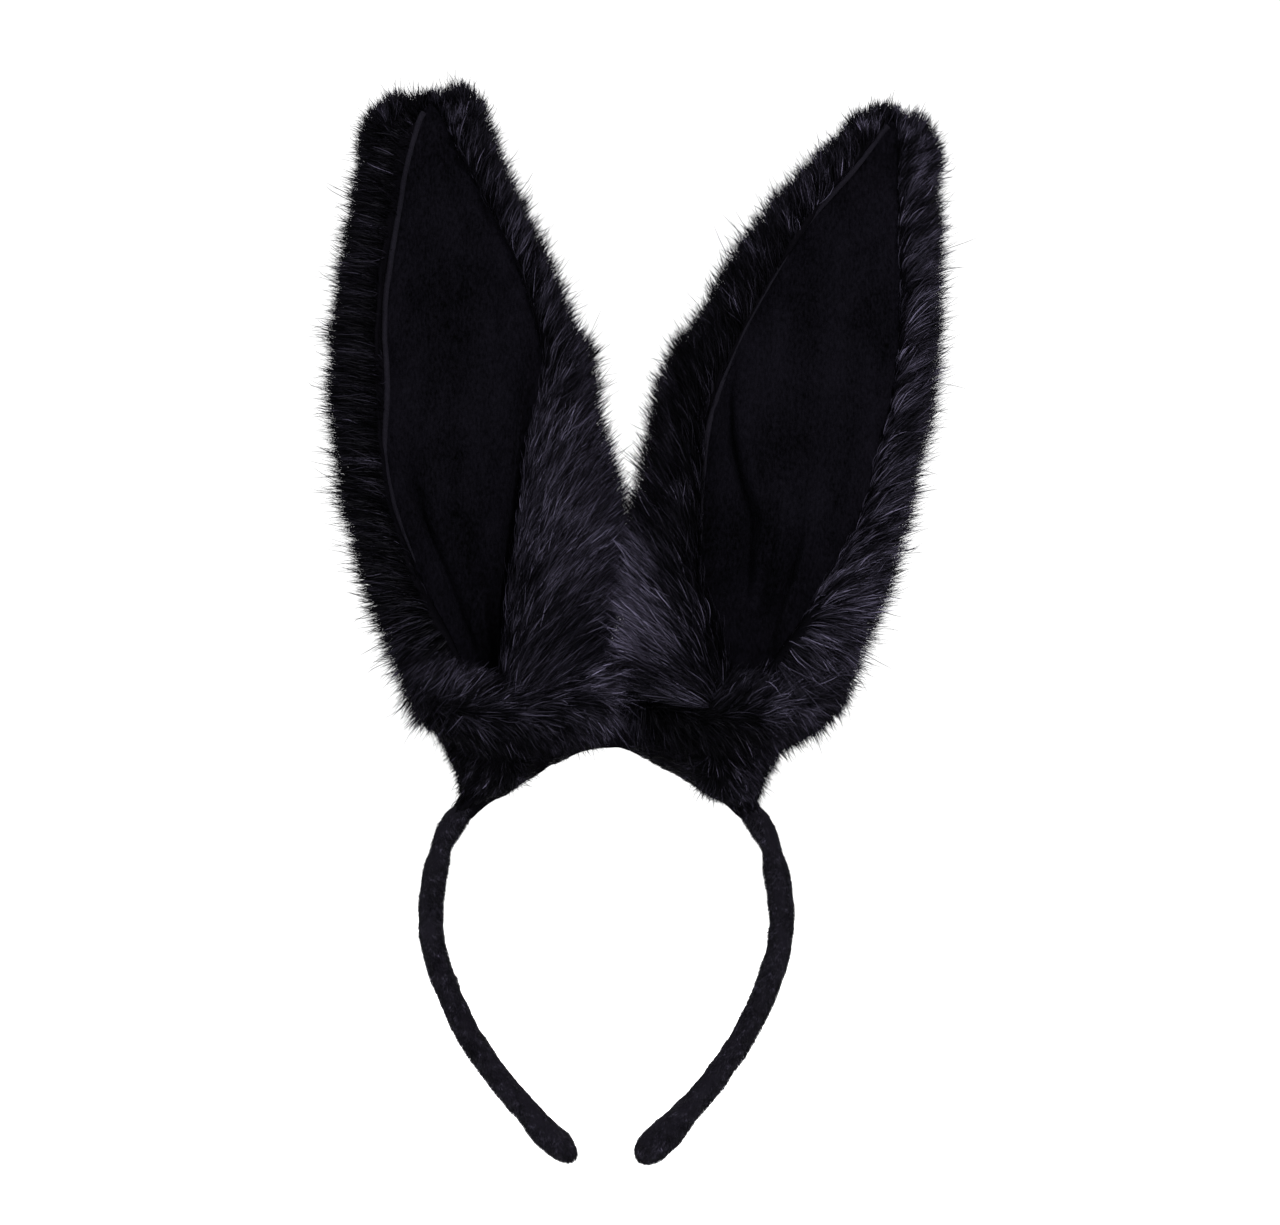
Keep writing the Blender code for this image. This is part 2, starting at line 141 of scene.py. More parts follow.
def wander(points, scale, seed, octaves=2):
    """Smooth noise from about -1 to 1 at each point; scale is its grain in metres."""
    offset = Vector((seed * 7.31, seed * 3.17, seed * 5.03))
    flat = np.asarray(points, float).reshape(-1, 3) / scale
    found = [noise.fractal(Vector(p) + offset, 0.7, 2.0, octaves) for p in flat]
    return np.array(found).reshape(np.shape(points)[:-1])


# ---- band route


def band_rows():
    half = [(CROWN_FLAT / 2, CORE_HEIGHT)]
    for across, down in ROUTE_SHARES:
        half.append((across * BAND_HALF_WIDTH, CORE_HEIGHT - down * BAND_DROP))
    distance = CROWN_FLAT / 2
    rows = [(distance, *half[0])]
    for (x0, z0), (x1, z1) in zip(half, half[1:]):
        distance += math.hypot(x1 - x0, z1 - z0)
        rows.append((distance, x1, z1))
    return [(-s, -x, z) for s, x, z in reversed(rows)] + rows


BAND_ROWS = band_rows()
BAND_END = BAND_ROWS[-1][0]


def band_points(distances):
    x, z = read_rows(BAND_ROWS, distances)
    return np.stack([x, np.zeros_like(x), z], -1)


def band_frames(distances):
    step = 0.5 * MM
    centre = band_points(distances)
    along = unit(band_points(distances + step) - band_points(distances - step))
    flat = np.abs(distances) <= CROWN_FLAT / 2
    along[flat] = (1.0, 0.0, 0.0)
    outward = np.stack([-along[:, Z], np.zeros(len(along)), along[:, X]], -1)
    return centre, along, outward


# ---- ear shape


class Ear:
    """One ear's back surface, as in the CAD."""

    def __init__(self, side, word, lean):
        self.side, self.word, self.lean = side, word, lean
        self.base_x = 0.0
        heights = np.linspace(0.0, EAR_LENGTH, EDGE_SAMPLES)
        edge = self.surface(np.full(EDGE_SAMPLES, -1.0), heights)[:, X] * side
        self.base_x = side * (EAR_PARTING_GAP / 2 - edge.min()) + EAR_PARTING

    def place(self, across, depth, height):
        cosine, sine = math.cos(self.lean), math.sin(self.lean)
        x = self.base_x + self.side * (across * cosine + height * sine)
        z = EAR_BASE + height * cosine - across * sine
        return np.stack([x, depth + 0 * x, z], -1)

    def local(self, share, height):
        inner, outer = read_rows(EAR_OUTLINE, height / EAR_LENGTH)
        inner, outer = inner * EAR_HALF_WIDTH, outer * EAR_HALF_WIDTH
        across = (outer - inner) / 2 + share * (outer + inner) / 2
        gather = 1.0 - smoothstep(height / GATHER_HEIGHT)
        dish = EAR_DISH + (BASE_DISH - EAR_DISH) * gather
        middle = EAR_BACK + (BASE_BACK - EAR_BACK) * gather
        past = np.maximum(0.0, (np.abs(share) - RIM_SHARE) / (1 - RIM_SHARE))
        return across, middle - dish * share * share - RIM_CURL * past**2

    def surface(self, share, height):
        across, depth = self.local(share, np.clip(height, 0.0, EAR_LENGTH))
        gather = 1.0 - smoothstep(height / GATHER_HEIGHT)
        return self.place(across, depth, height + across * math.tan(self.lean) * gather)

    def normal(self, share, height):
        """Unit direction from the back surface towards the front."""
        step = 0.01
        wide = self.surface(share + step, height) - self.surface(share - step, height)
        tall = self.surface(share, height + MM) - self.surface(share, height - MM)
        return unit(np.cross(wide, tall) * self.side)

    def raised(self, share, height, lift):
        """The surface moved towards the front by lift."""
        lift = np.asarray(lift)[..., None]
        return self.surface(share, height) + self.normal(share, height) * lift

    def up(self):
        return np.array([self.side * math.sin(self.lean), 0.0, math.cos(self.lean)])

    def out(self):
        return np.array([self.side * math.cos(self.lean), 0.0, -math.sin(self.lean)])


# ---- mesh helpers


def add_object(name, data):
    made = bpy.data.objects.new(name, data)
    bpy.context.scene.collection.objects.link(made)
    return made


def mesh_from(name, points, faces, look):
    """A mesh object from rows of points and of faces with equally many corners."""
    points, faces = np.asarray(points, np.float32), np.asarray(faces, np.int32)
    mesh = bpy.data.meshes.new(name)
    mesh.vertices.add(len(points))
    mesh.vertices.foreach_set("co", points.ravel())
    mesh.loops.add(faces.size)
    mesh.loops.foreach_set("vertex_index", faces.ravel())
    mesh.polygons.add(len(faces))
    starts = np.arange(len(faces), dtype=np.int32) * faces.shape[1]
    mesh.polygons.foreach_set("loop_start", starts)
    mesh.polygons.foreach_set("use_smooth", np.ones(len(faces), bool))
    mesh.update(calc_edges=True)
    mesh.materials.append(look)
    return add_object(name, mesh)


def grid_faces(rows, columns, closed):
    """Quads of a grid whose points run along each row in turn."""
    across = columns if closed else columns - 1
    r, c = np.meshgrid(np.arange(rows - 1), np.arange(across), indexing="ij")
    right = (c + 1) % columns
    low, high = r * columns, (r + 1) * columns
    return np.stack([low + c, low + right, high + right, high + c], -1).reshape(-1, 4)


def grid_mesh(name, points, look, flip=False, closed=False):
    """A mesh from rows of points: closed joins each row's ends, flip turns the faces."""
    faces = grid_faces(*points.shape[:2], closed)
    return mesh_from(name, points.reshape(-1, 3), faces[:, ::-1] if flip else faces, look)


def applied(item):
    """The item with its modifiers made final."""
    bpy.context.view_layer.update()
    graph = bpy.context.evaluated_depsgraph_get()
    final = bpy.data.meshes.new_from_object(item.evaluated_get(graph))
    old = item.data
    item.modifiers.clear()
    item.data = final
    bpy.data.meshes.remove(old)
    return item


def thicken(item, thickness, offset=-1.0):
    wall = item.modifiers.new("wall", "SOLIDIFY")
    wall.thickness = thickness
    wall.offset = offset
    return applied(item)


def mesh_arrays(item):
    """(points, vertex normals, triangles) of a mesh object."""
    mesh = item.data
    points = np.empty(len(mesh.vertices) * 3, np.float32)
    mesh.vertices.foreach_get("co", points)
    normals = np.empty(len(mesh.vertices) * 3, np.float32)
    mesh.vertex_normals.foreach_get("vector", normals)
    mesh.calc_loop_triangles()
    tris = np.empty(len(mesh.loop_triangles) * 3, np.int32)
    mesh.loop_triangles.foreach_get("vertices", tris)
    return (
        points.reshape(-1, 3).astype(float),
        normals.reshape(-1, 3).astype(float),
        tris.reshape(-1, 3),
    )


# The cloth of linings and cover, in Blender's own units
CLOTH_QUALITY = 5
CLOTH_MASS = 0.15
CLOTH_STRETCH = 12.0
CLOTH_BEND = 0.15
CLOTH_FRAMES = 20


def settle(item, cap, pressure=0.0, slack=0.0, pins=None):
    """Lets cloth find its creases in a short simulation without gravity. No point moves
    further than cap, and pinned points stay."""
    start = mesh_arrays(item)[0]
    if pins is not None:
        group = item.vertex_groups.new(name="pins")
        group.add([int(i) for i in np.flatnonzero(pins)], 1.0, "REPLACE")
    cloth = item.modifiers.new("cloth", "CLOTH")
    fabric = cloth.settings
    fabric.quality = CLOTH_QUALITY
    fabric.mass = CLOTH_MASS
    fabric.tension_stiffness = fabric.compression_stiffness = CLOTH_STRETCH
    fabric.bending_stiffness = CLOTH_BEND
    fabric.effector_weights.gravity = 0.0
    fabric.shrink_min = -slack
    fabric.use_pressure = pressure > 0
    fabric.uniform_pressure_force = pressure
    if pins is not None:
        fabric.vertex_group_mass = "pins"
    cloth.point_cache.frame_start, cloth.point_cache.frame_end = 1, CLOTH_FRAMES
    for number in range(1, CLOTH_FRAMES + 1):
        bpy.context.scene.frame_set(number)
    applied(item)
    moved = mesh_arrays(item)[0] - start
    size = np.linalg.norm(moved, axis=1, keepdims=True)
    moved *= cap * np.tanh(size / cap) / np.maximum(size, 1e-9)
    item.data.vertices.foreach_set("co", (start + moved).astype(np.float32).ravel())
    item.vertex_groups.clear()
    item.data.update()
    bpy.context.scene.frame_set(1)


def subdivided(item):
    finer = item.modifiers.new("finer", "SUBSURF")
    finer.levels = finer.render_levels = 1
    return applied(item)


# ---- materials


def shader_of(name, base, roughness, **sockets):
    made = bpy.data.materials.new(name)
    made.use_nodes = True
    shader = made.node_tree.nodes["Principled BSDF"]
    shader.inputs["Base Color"].default_value = (*base, 1.0)
    shader.inputs["Roughness"].default_value = roughness
    for socket, value in sockets.items():
        shader.inputs[socket.replace("_", " ")].default_value = value
    return made, made.node_tree.nodes, made.node_tree.links, shader


def ramp_node(nodes, links, place, stops):
    made = nodes.new("ShaderNodeValToRGB")
    links.new(place, made.inputs["Fac"])
    while len(made.color_ramp.elements) < len(stops):
        made.color_ramp.elements.new(0.5)
    for element, (place, colour) in zip(made.color_ramp.elements, stops):
        element.position = place
        element.color = (*colour, 1.0)
    return made.outputs["Color"]


def mix_node(nodes, links, kind, factor, a, b):
    made = nodes.new("ShaderNodeMix")
    made.data_type = kind
    made.inputs["Factor"].default_value = factor
    links.new(a, made.inputs["A"])
    links.new(b, made.inputs["B"])
    return made


def stretched_node(nodes, links, place, scale):
    made = nodes.new("ShaderNodeMapping")
    made.inputs["Scale"].default_value = scale
    links.new(place, made.inputs["Vector"])
    return made.outputs["Vector"]


def noise_node(nodes, links, place, scale, detail=3.0, roughness=0.6):
    made = nodes.new("ShaderNodeTexNoise")
    made.inputs["Scale"].default_value = scale
    made.inputs["Detail"].default_value = detail
    made.inputs["Roughness"].default_value = roughness
    links.new(place, made.inputs["Vector"])
    return made


def bump_node(nodes, links, height, strength, distance, before=None):
    made = nodes.new("ShaderNodeBump")
    made.inputs["Strength"].default_value = strength
    made.inputs["Distance"].default_value = distance
    links.new(height, made.inputs["Height"])
    if before:
        links.new(before.outputs["Normal"], made.inputs["Normal"])
    return made


# Painted light and shade of a strand for each place in U: the light strands stand in for the
# fur's highlights, the dark ones for its shade
STRAND_LIGHT_LEVELS = ((0.0, 0.0001), (0.25, 0.0008), (0.5, 0.0055), (0.75, 0.0220), (1.0, 0.0560))
# Painted shade, darkest at a strand's root and lightening to its tip
ROOT_SHADE_TO_TIP = ((0.0, (0.15,) * 3), (0.5, (0.85,) * 3), (1.0, (1.1,) * 3))


def strand_look(name, tint, roughness, gloss):
    """Hair with painted shade at its root. The strand's map holds its painted light and shade
    in U and runs from root to tip in V."""
    made, nodes, links, shader = shader_of(name, (0.002, 0.002, 0.002), roughness)
    shader.inputs["Specular IOR Level"].default_value = gloss
    shader.inputs["Specular Tint"].default_value = (0.86, 0.84, 1.0, 1.0)
    place = nodes.new("ShaderNodeUVMap")
    place.uv_map = "OFBake"
    parts = nodes.new("ShaderNodeSeparateXYZ")
    links.new(place.outputs["UV"], parts.inputs["Vector"])
    stops = [(u, tuple(level * t for t in tint)) for u, level in STRAND_LIGHT_LEVELS]
    # Painted highlights and shade: each strand's U picks how light it is
    shade = ramp_node(nodes, links, parts.outputs["X"], stops)
    depth = ramp_node(nodes, links, parts.outputs["Y"], ROOT_SHADE_TO_TIP)
    mixed = mix_node(nodes, links, "RGBA", 1.0, depth, shade)
    mixed.blend_type = "MULTIPLY"
    links.new(mixed.outputs["Result"], shader.inputs["Base Color"])
    return made


def cloth_look(name, dark, light, roughness, sheen, grain, depth, weave=0.0, gloss=0.04,
               stretch=1.0):
    """Napped cloth: mottled shade, brushed patches and a fine nap, in metres."""
    made, nodes, links, shader = shader_of(
        name, dark, roughness, Sheen_Weight=sheen, Sheen_Roughness=0.5
    )
    shader.inputs["Specular IOR Level"].default_value = gloss
    shader.inputs["Sheen Tint"].default_value = (0.82, 0.80, 1.0, 1.0)
    place = nodes.new("ShaderNodeTexCoord").outputs["Object"]
    if stretch != 1.0:
        place = stretched_node(nodes, links, place, (1.0, 1.0, stretch))
    broad = noise_node(nodes, links, place, 1.0 / (22 * MM), 4.0)
    fine = noise_node(nodes, links, place, 1.0 / grain, 4.0, 0.7)
    mixed = mix_node(nodes, links, "FLOAT", 0.55, broad.outputs["Fac"], fine.outputs["Fac"])
    shade = ramp_node(nodes, links, mixed.outputs["Result"], ((0.36, dark), (0.64, light)))
    links.new(shade, shader.inputs["Base Color"])
    nap = bump_node(nodes, links, fine.outputs["Fac"], 0.6, depth)
    if weave:
        wave = nodes.new("ShaderNodeTexWave")
        wave.inputs["Scale"].default_value = 1.0 / weave
        wave.bands_direction = "DIAGONAL"
        wave.inputs["Distortion"].default_value = 1.0
        links.new(place, wave.inputs["Vector"])
        nap = bump_node(nodes, links, wave.outputs["Fac"], 0.4, depth, nap)
    links.new(nap.outputs["Normal"], shader.inputs["Normal"])
    return made


def metal_look(name, dark, light, roughness, stretch):
    """Drawn or rolled metal with fine lines and faint staining."""
    made, nodes, links, shader = shader_of(name, light, roughness, Metallic=1.0)
    place = nodes.new("ShaderNodeTexCoord").outputs["Object"]
    place = stretched_node(nodes, links, place, stretch)
    lines = noise_node(nodes, links, place, 1.0 / (2 * MM), 4.0)
    shade = ramp_node(nodes, links, lines.outputs["Fac"], ((0.30, dark), (0.62, light)))
    links.new(shade, shader.inputs["Base Color"])
    nap = bump_node(nodes, links, lines.outputs["Fac"], 0.3, 0.05 * MM)
    links.new(nap.outputs["Normal"], shader.inputs["Normal"])
    return made


pile_look = strand_look("fur_pile", (1.0, 0.91, 1.36), 0.40, 0.01)
nap_look = strand_look("velour_pile", (1.0, 0.90, 1.34), 0.55, 0.03)
hide_look = cloth_look(
    "fur_backing", (0.0003, 0.0003, 0.0004), (0.0009, 0.0008, 0.0011), 0.9,
    sheen=0.0, grain=0.5 * MM, depth=0.15 * MM, weave=1.1 * MM, gloss=0.0,
)
velvet_look = cloth_look(
    "lining_velvet", (0.0001, 0.0001, 0.0001), (0.0011, 0.0010, 0.0015), 0.9,
    sheen=0.001, grain=0.8 * MM, depth=0.16 * MM, gloss=0.0, stretch=0.45,
)
# The piping is real; its colour, lighter than the velvet's, is partly a painted highlight, as the
# left-hand seams face the key light
lit_piping_look = cloth_look(
    "lining_piping", (0.0010, 0.0009, 0.0013), (0.0028, 0.0026, 0.0036), 0.8,
    sheen=0.003, grain=0.5 * MM, depth=0.08 * MM, gloss=0.0,
)
velour_look = cloth_look(
    "band_velour", (0.0006, 0.0005, 0.0008), (0.0022, 0.0020, 0.0030), 0.9,
    sheen=0.002, grain=0.4 * MM, depth=0.10 * MM, gloss=0.01,
)
buckram_look = cloth_look(
    "buckram", (0.020, 0.020, 0.021), (0.040, 0.040, 0.042), 0.9,
    sheen=0.0, grain=0.3 * MM, depth=0.10 * MM, weave=0.8 * MM,
)
steel_look = metal_look(
    "spring_steel", (0.30, 0.30, 0.32), (0.52, 0.52, 0.54), 0.33, (0.1, 1.0, 0.1)
)
wire_look = metal_look(
    "galvanised_wire", (0.42, 0.43, 0.45), (0.66, 0.67, 0.69), 0.38, (1.0, 1.0, 0.2)
)


# ---- pile


def skin_of(item, flow, length, lift, shade, density=1.0):
    """What grow() needs of a surface. Flow, length, lift, shade and density are each a
    number, an array over its vertices, or a function of (points, normals). Shade is the
    strands' painted light and shade."""
    points, normals, tris = mesh_arrays(item)

    def values(given):
        if callable(given):
            return given(points, normals)
        if np.isscalar(given):
            return np.full(len(points), float(given))
        return np.asarray(given, float)

    return {
        "points": points,
        "normals": normals,
        "tris": tris,
        "flow": values(flow),
        "length": values(length),
        "lift": values(lift),
        "density": values(density),
        "shade": values(shade),
    }


def clumped(roots, curve, cell, rng):
    """Draws the strands that stand in one cell together towards their tips."""
    jittered = roots + rng.normal(0.0, 0.25 * cell, roots.shape)
    keys = np.floor(jittered / cell).astype(np.int64)
    _, group = np.unique(keys, axis=0, return_inverse=True)
    group = group.reshape(-1)
    size = np.bincount(group).astype(float)
    tips = curve[:, -1] - roots
    middle = [np.bincount(group, tips[:, k] + roots[:, k]) / size for k in range(3)]
    target = np.stack(middle, -1)[group]
    pull = CLUMP * rng.uniform(0.5, 1.0, len(roots))
    steps = np.linspace(0.0, 1.0, curve.shape[1])
    for i, t in enumerate(steps):
        share = (pull * t**1.6)[:, None]
        goal = roots + (target - roots) * t
        curve[:, i] = curve[:, i] * (1 - share) + goal * share
    return curve


# Along each axis: which way, where the pile starts to level off, and the room left to it
REACHES = (
    (X, -1, 99.0 * MM, 8.5 * MM),
    (X, 1, 124.0 * MM, 12.0 * MM),
    (Y, -1, 21.0 * MM, 8.0 * MM),
    (Y, 1, 16.0 * MM, 6.0 * MM),
)


def eased(curve):
    """Strands that level off short of the pile's furthest reach sideways and in depth."""
    for axis, way, start, room in REACHES:
        past = np.maximum(way * curve[..., axis] - start, 0.0)
        held = way * (start + room * np.tanh(past / room))
        curve[..., axis] = np.where(past > 0, held, curve[..., axis])
    return curve


# How far strands draw together in a clump, stray from the flow, and the share of longer
# guard hairs among them
CLUMP = 0.50
SPREAD = 0.15
GUARD_SHARE = 0.05


def grow(name, skin, count, seed, look, width, segments=4, cell=4 * MM, curl=0.4 * MM,
         hug=0.25, droop=0.06, highlight_streaks=0.72):
    """A piece of pile: one flat, tapering ribbon a strand, rooted at random on a skin."""
    rng = np.random.default_rng(seed)
    corners = skin["points"][skin["tris"]]
    area = np.linalg.norm(
        np.cross(corners[:, 1] - corners[:, 0], corners[:, 2] - corners[:, 0]), axis=1
    )
    weight = area * np.maximum(skin["density"][skin["tris"]].mean(1), 0.0)
    chosen = rng.choice(len(weight), count, p=weight / weight.sum())
    a, b = rng.random(count), rng.random(count)
    flip = a + b > 1
    a[flip], b[flip] = 1 - a[flip], 1 - b[flip]
    share = np.stack([1 - a - b, a, b], -1)

    def mixed(values):
        found = values[skin["tris"][chosen]]
        if found.ndim == 2:
            return (found * share).sum(1)
        return (found * share[:, :, None]).sum(1)

    root = mixed(skin["points"])
    normal = unit(mixed(skin["normals"]))
    flow = mixed(skin["flow"])
    guard = 0.5 * (rng.random(count) < GUARD_SHARE)
    length = mixed(skin["length"]) * (rng.uniform(0.62, 1.12, count) + guard)
    lift = mixed(skin["lift"]) * rng.uniform(0.6, 1.5, count)
    start = flow * np.cos(lift)[:, None] + normal * np.sin(lift)[:, None]
    start = unit(start + rng.normal(0.0, SPREAD, start.shape))
    bend = -normal * hug + np.array([0.0, 0.0, -droop])
    bend = bend + rng.normal(0.0, SPREAD * 0.7, start.shape)
    steps = np.linspace(0.0, 1.0, segments + 1)
    curve = np.empty((count, segments + 1, 3))
    phase = rng.uniform(0, 2 * math.pi, count)
    turns = rng.uniform(0.4, 1.1, count) * 2 * math.pi
    sway = unit(np.cross(start, normal) + 1e-9)
    root = root - normal * 0.2 * MM
    for i, t in enumerate(steps):
        wave = curl * t * np.sin(turns * t + phase)
        curve[:, i] = root + (start * t + bend * t * t) * length[:, None]
        curve[:, i] += sway * wave[:, None]
    curve = eased(clumped(root, curve, cell, rng))
    tangent = unit(np.gradient(curve, axis=1))
    flat = unit(np.cross(tangent, normal[:, None, :]))
    edge = unit(np.cross(flat, tangent))
    roll = rng.normal(0.0, 0.6, count)[:, None, None]
    across = flat * np.cos(roll) + edge * np.sin(roll)
    taper = np.clip((1.0 - steps) ** 0.55, 0.06, 1.0) * np.where(steps == 0, 0.8, 1.0)
    half = (width / 2 * rng.uniform(0.7, 1.3, count))[:, None] * taper[None, :]
    left, right = curve - across * half[:, :, None], curve + across * half[:, :, None]
    points = np.stack([left, right], 2).reshape(-1, 3)
    base = (np.arange(count) * 2 * (segments + 1))[:, None] + 2 * np.arange(segments)[None, :]
    faces = np.stack([base, base + 1, base + 3, base + 2], -1).reshape(-1, 4)
    made = mesh_from(name, points, faces, look)
    # Painted highlights and shade: strands rooted close together share a lighter or darker streak
    # about 2 mm across
    painted_streak = wander(root, 1.9 * MM, seed, 1) * highlight_streaks
    u = np.clip(mixed(skin["shade"]) + painted_streak + rng.normal(0.0, 0.12, count), 0.01, 0.99)
    u = np.repeat(u, segments * 4)
    low, high = steps[:-1], steps[1:]
    v = np.tile(np.stack([low, low, high, high], -1).ravel(), count)
    layer = made.data.uv_layers.new(name="OFBake")
    layer.data.foreach_set("uv", np.stack([u, v], -1).astype(np.float32).ravel())
    return made


# ---- ear coverings

# Where the hide's rim and the lining's edges lie: share of the ear's length, then
# inner and outer place in shares of the half width there
RIMS = {
    "left": (
        (0.00, 0.84, 0.78), (0.07, 0.86, 0.89), (0.13, 0.88, 0.95), (0.27, 0.90, 0.97),
        (0.42, 0.86, 0.98), (0.50, 0.88, 0.97), (0.535, 0.93, 0.96), (0.56, 0.82, 0.95),
        (0.62, 0.79, 0.94), (0.70, 0.76, 0.92), (0.84, 0.72, 0.86), (0.93, 0.86, 0.97),
        (1.00, 1.12, 1.18),
    ),
    "right": (
        (0.00, 0.94, 0.76), (0.07, 0.95, 0.88), (0.12, 0.96, 0.96), (0.25, 0.94, 0.91),
        (0.34, 1.00, 0.87), (0.44, 1.07, 0.83), (0.52, 1.06, 0.80), (0.55, 0.99, 0.79),
        (0.68, 0.97, 0.75), (0.80, 0.90, 0.68), (0.90, 0.77, 0.63), (1.00, 0.66, 0.90),
    ),
}
SEAMS = {
    "left": (
        (0.00, -0.04, 0.52), (0.13, -0.10, 0.72), (0.24, -0.22, 0.79), (0.34, -0.35, 0.83),
        (0.43, -0.49, 0.80), (0.50, -0.62, 0.74), (0.57, -0.71, 0.72), (0.67, -0.73, 0.74),
        (0.80, -0.66, 0.64), (0.90, -0.52, 0.47), (0.97, -0.40, 0.32), (1.00, -0.34, 0.26),
    ),
    "right": (
        (0.00, -0.26, 0.36), (0.10, -0.36, 0.58), (0.17, -0.54, 0.66), (0.25, -0.60, 0.70),
        (0.33, -0.70, 0.70), (0.41, -0.78, 0.68), (0.55, -0.82, 0.66), (0.68, -0.80, 0.63),
        (0.80, -0.75, 0.50), (0.90, -0.56, 0.30), (1.00, -0.26, 0.16),
    ),
}
# Heights between which a lobe's front gives way to a plain margin: inner, outer
LOBES = {
    "left": ((50 * MM, 108 * MM), (14 * MM, 62 * MM)),
    "right": ((34 * MM, 84 * MM), (22 * MM, 80 * MM)),
}
MARGIN_COLUMNS = 14
TURN_STEP = 0.04
BACK_COLUMNS = 34
HIDE_ROWS = 120
PAD_FRONT = 9.4 * MM
RIM_FRONT = 4.6 * MM
HIDE_INSET = 1.2 * MM
TOP_CLOSE = 199.0 * MM


def edge_shares(rows, height):
    """(inner, outer) signed shares, from rows that give the inner edge's sign."""
    return read_rows(rows, np.clip(height, 0, EAR_LENGTH) / EAR_LENGTH)


def margin_front(ear, way, height, m):
    """A margin's front from its rim (m = 0) to its seam (m = 1), and how far it is a
    lobe that swells forward: way is -1 for the inner margin and 1 for the outer."""
    rim = way * edge_shares(RIMS[ear.word], height)[(way + 1) // 2]
    seam = edge_shares(SEAMS[ear.word], height)[(way + 1) // 2]
    share = rim + (seam - rim) * m
    lift = RIM_FRONT + (PAD_FRONT - RIM_FRONT) * np.sqrt(np.clip(m * 2.5, 0, 1))
    hump = np.abs(np.sin(math.pi * np.clip(m, 0, 1))) ** 0.8
    swell = 1.6 * MM * hump
    plain = ear.raised(share, height, lift + swell)
    start, end = LOBES[ear.word][(way + 1) // 2]
    lobe = 1.0 - ramp(height, start, end)
    rim_depth = ear.raised(rim, height, RIM_FRONT)[..., Y]
    reach = np.abs(seam - rim) * EAR_HALF_WIDTH
    bulge = np.clip(0.26 * reach, 2 * MM, 6 * MM)
    edge_depth = -12.5 * MM + 5.0 * MM * ramp(height, 40 * MM, 100 * MM)
    forward = rim_depth + (edge_depth - rim_depth) * m - bulge * hump
    lobed = plain.copy()
    lobed[..., Y] = np.minimum(plain[..., Y], forward)
    return plain + (lobed - plain) * lobe[..., None], lobe


def hide_section(ear, height):
    """Rows of points round the hide at each height, and what lies where: region is -1
    or 1 on a front margin and 0 on the back; spot is the place across it."""
    columns, region, spot = [], [], []

    def add_margin(way, places):
        for m in places:
            front, lobe = margin_front(ear, way, height, np.full_like(height, m))
            if m > 1:
                front[..., Y] += (m - 1) / TURN_STEP * (3.0 + 5.0 * lobe) * MM
            columns.append(front)
            region.append(way)
            spot.append(m)

    places = [1 + TURN_STEP, 1.02] + list(np.linspace(1.0, 0.0, MARGIN_COLUMNS))
    add_margin(-1, places)
    inner_rim, outer_rim = edge_shares(RIMS[ear.word], height)
    for i in range(1, BACK_COLUMNS):
        share = -inner_rim + (outer_rim + inner_rim) * i / BACK_COLUMNS
        columns.append(ear.raised(share, height, HIDE_INSET))
        region.append(0)
        spot.append(2 * i / BACK_COLUMNS - 1)
    add_margin(1, places[::-1])
    return np.stack(columns, 1), np.array(region), np.array(spot)


def make_hide(ear):
    """The fur's backing: round the ear from one seam to the other, closed at the top."""
    top = EAR_LENGTH - TOP_CLOSE
    crown = TOP_CLOSE + top * np.sin(np.linspace(0.1, 1, 9) * math.pi / 2)
    height = np.concatenate([np.linspace(-3 * MM, TOP_CLOSE, HIDE_ROWS), crown])
    points, region, spot = hide_section(ear, height)
    rise = np.clip((height - TOP_CLOSE) / top, 0, 1)
    keep = np.sqrt(1 - 0.995 * rise**2)[:, None]
    middle = ear.surface(0.0, height)[:, None, Y] - 3.0 * MM
    points[..., Y] = middle + (points[..., Y] - middle) * keep
    lumps = wander(points, 18 * MM, ear.side + 3)
    middle = points.mean(1, keepdims=True)
    points = points + unit(points - middle) * (lumps * 0.8 * MM)[..., None]
    hide = grid_mesh(f"{ear.word}_ear_hide", points, hide_look, ear.side > 0)
    places = (region, spot, height[:, None])
    return hide, points, *(np.broadcast_to(a, points.shape[:2]) for a in places)


# Each margin's fan: the point the pile spreads from, the fan's weight and the lift's
FANS = {
    ("left", -1): ((-38 * MM, 0, -8 * MM), 0.9, 0.30),
    ("left", 1): ((-30 * MM, 0, 20 * MM), 0.25, 0.10),
    ("right", -1): ((41 * MM, 0, 14 * MM), 0.85, 0.30),
    ("right", 1): ((38 * MM, 0, -4 * MM), 0.95, 0.10),
}


def hair_flow(ear, points, region, spot, height):
    """Which way the pile lies on a hide: outwards and up, fanning from the creases at
    the ear's base."""
    up, out = ear.up(), ear.out()
    flow = np.zeros(points.shape)
    for way in (-1, 1):
        centre, fan_weight, up_weight = FANS[ear.word, way]
        fan = points - np.array(centre)
        fan[..., Y] = 0.0
        fan = unit(fan)
        direct = unit(
            fan * fan_weight
            + out * way * (1 - 0.45 * fan_weight)
            + up * up_weight * (1 + 1.5 * ramp(height, 130 * MM, 200 * MM))[..., None]
        )
        where = region == way
        flow[where] = direct[where]
    hanging = ((region == 1) * (1 - ramp(height, 6 * MM, 40 * MM)))[..., None]
    outwards = np.array([ear.side * 0.62, 0, -0.8])
    flow = unit(flow * (1 - 0.9 * hanging) + outwards * hanging)
    back = region == 0
    direct = unit(
        out * (np.sign(spot) * np.abs(spot) ** 1.2 * 0.9)[..., None]
        + up * (0.75 + 0.4 * (1 - np.abs(spot)))[..., None]
    )
    flow[back] = direct[back]
    low = (back * (1 - ramp(height, 4 * MM, 26 * MM)) * np.abs(spot))[..., None]
    falling = out * np.sign(spot)[..., None] * 0.62 + np.array([0, 0.1, -0.8])
    flow = unit(flow * (1 - 0.9 * low) + falling * low)
    crest = ramp(height, 196 * MM, EAR_LENGTH)[..., None]
    return unit(flow * (1 - 0.8 * crest) + up * 0.8 * crest)


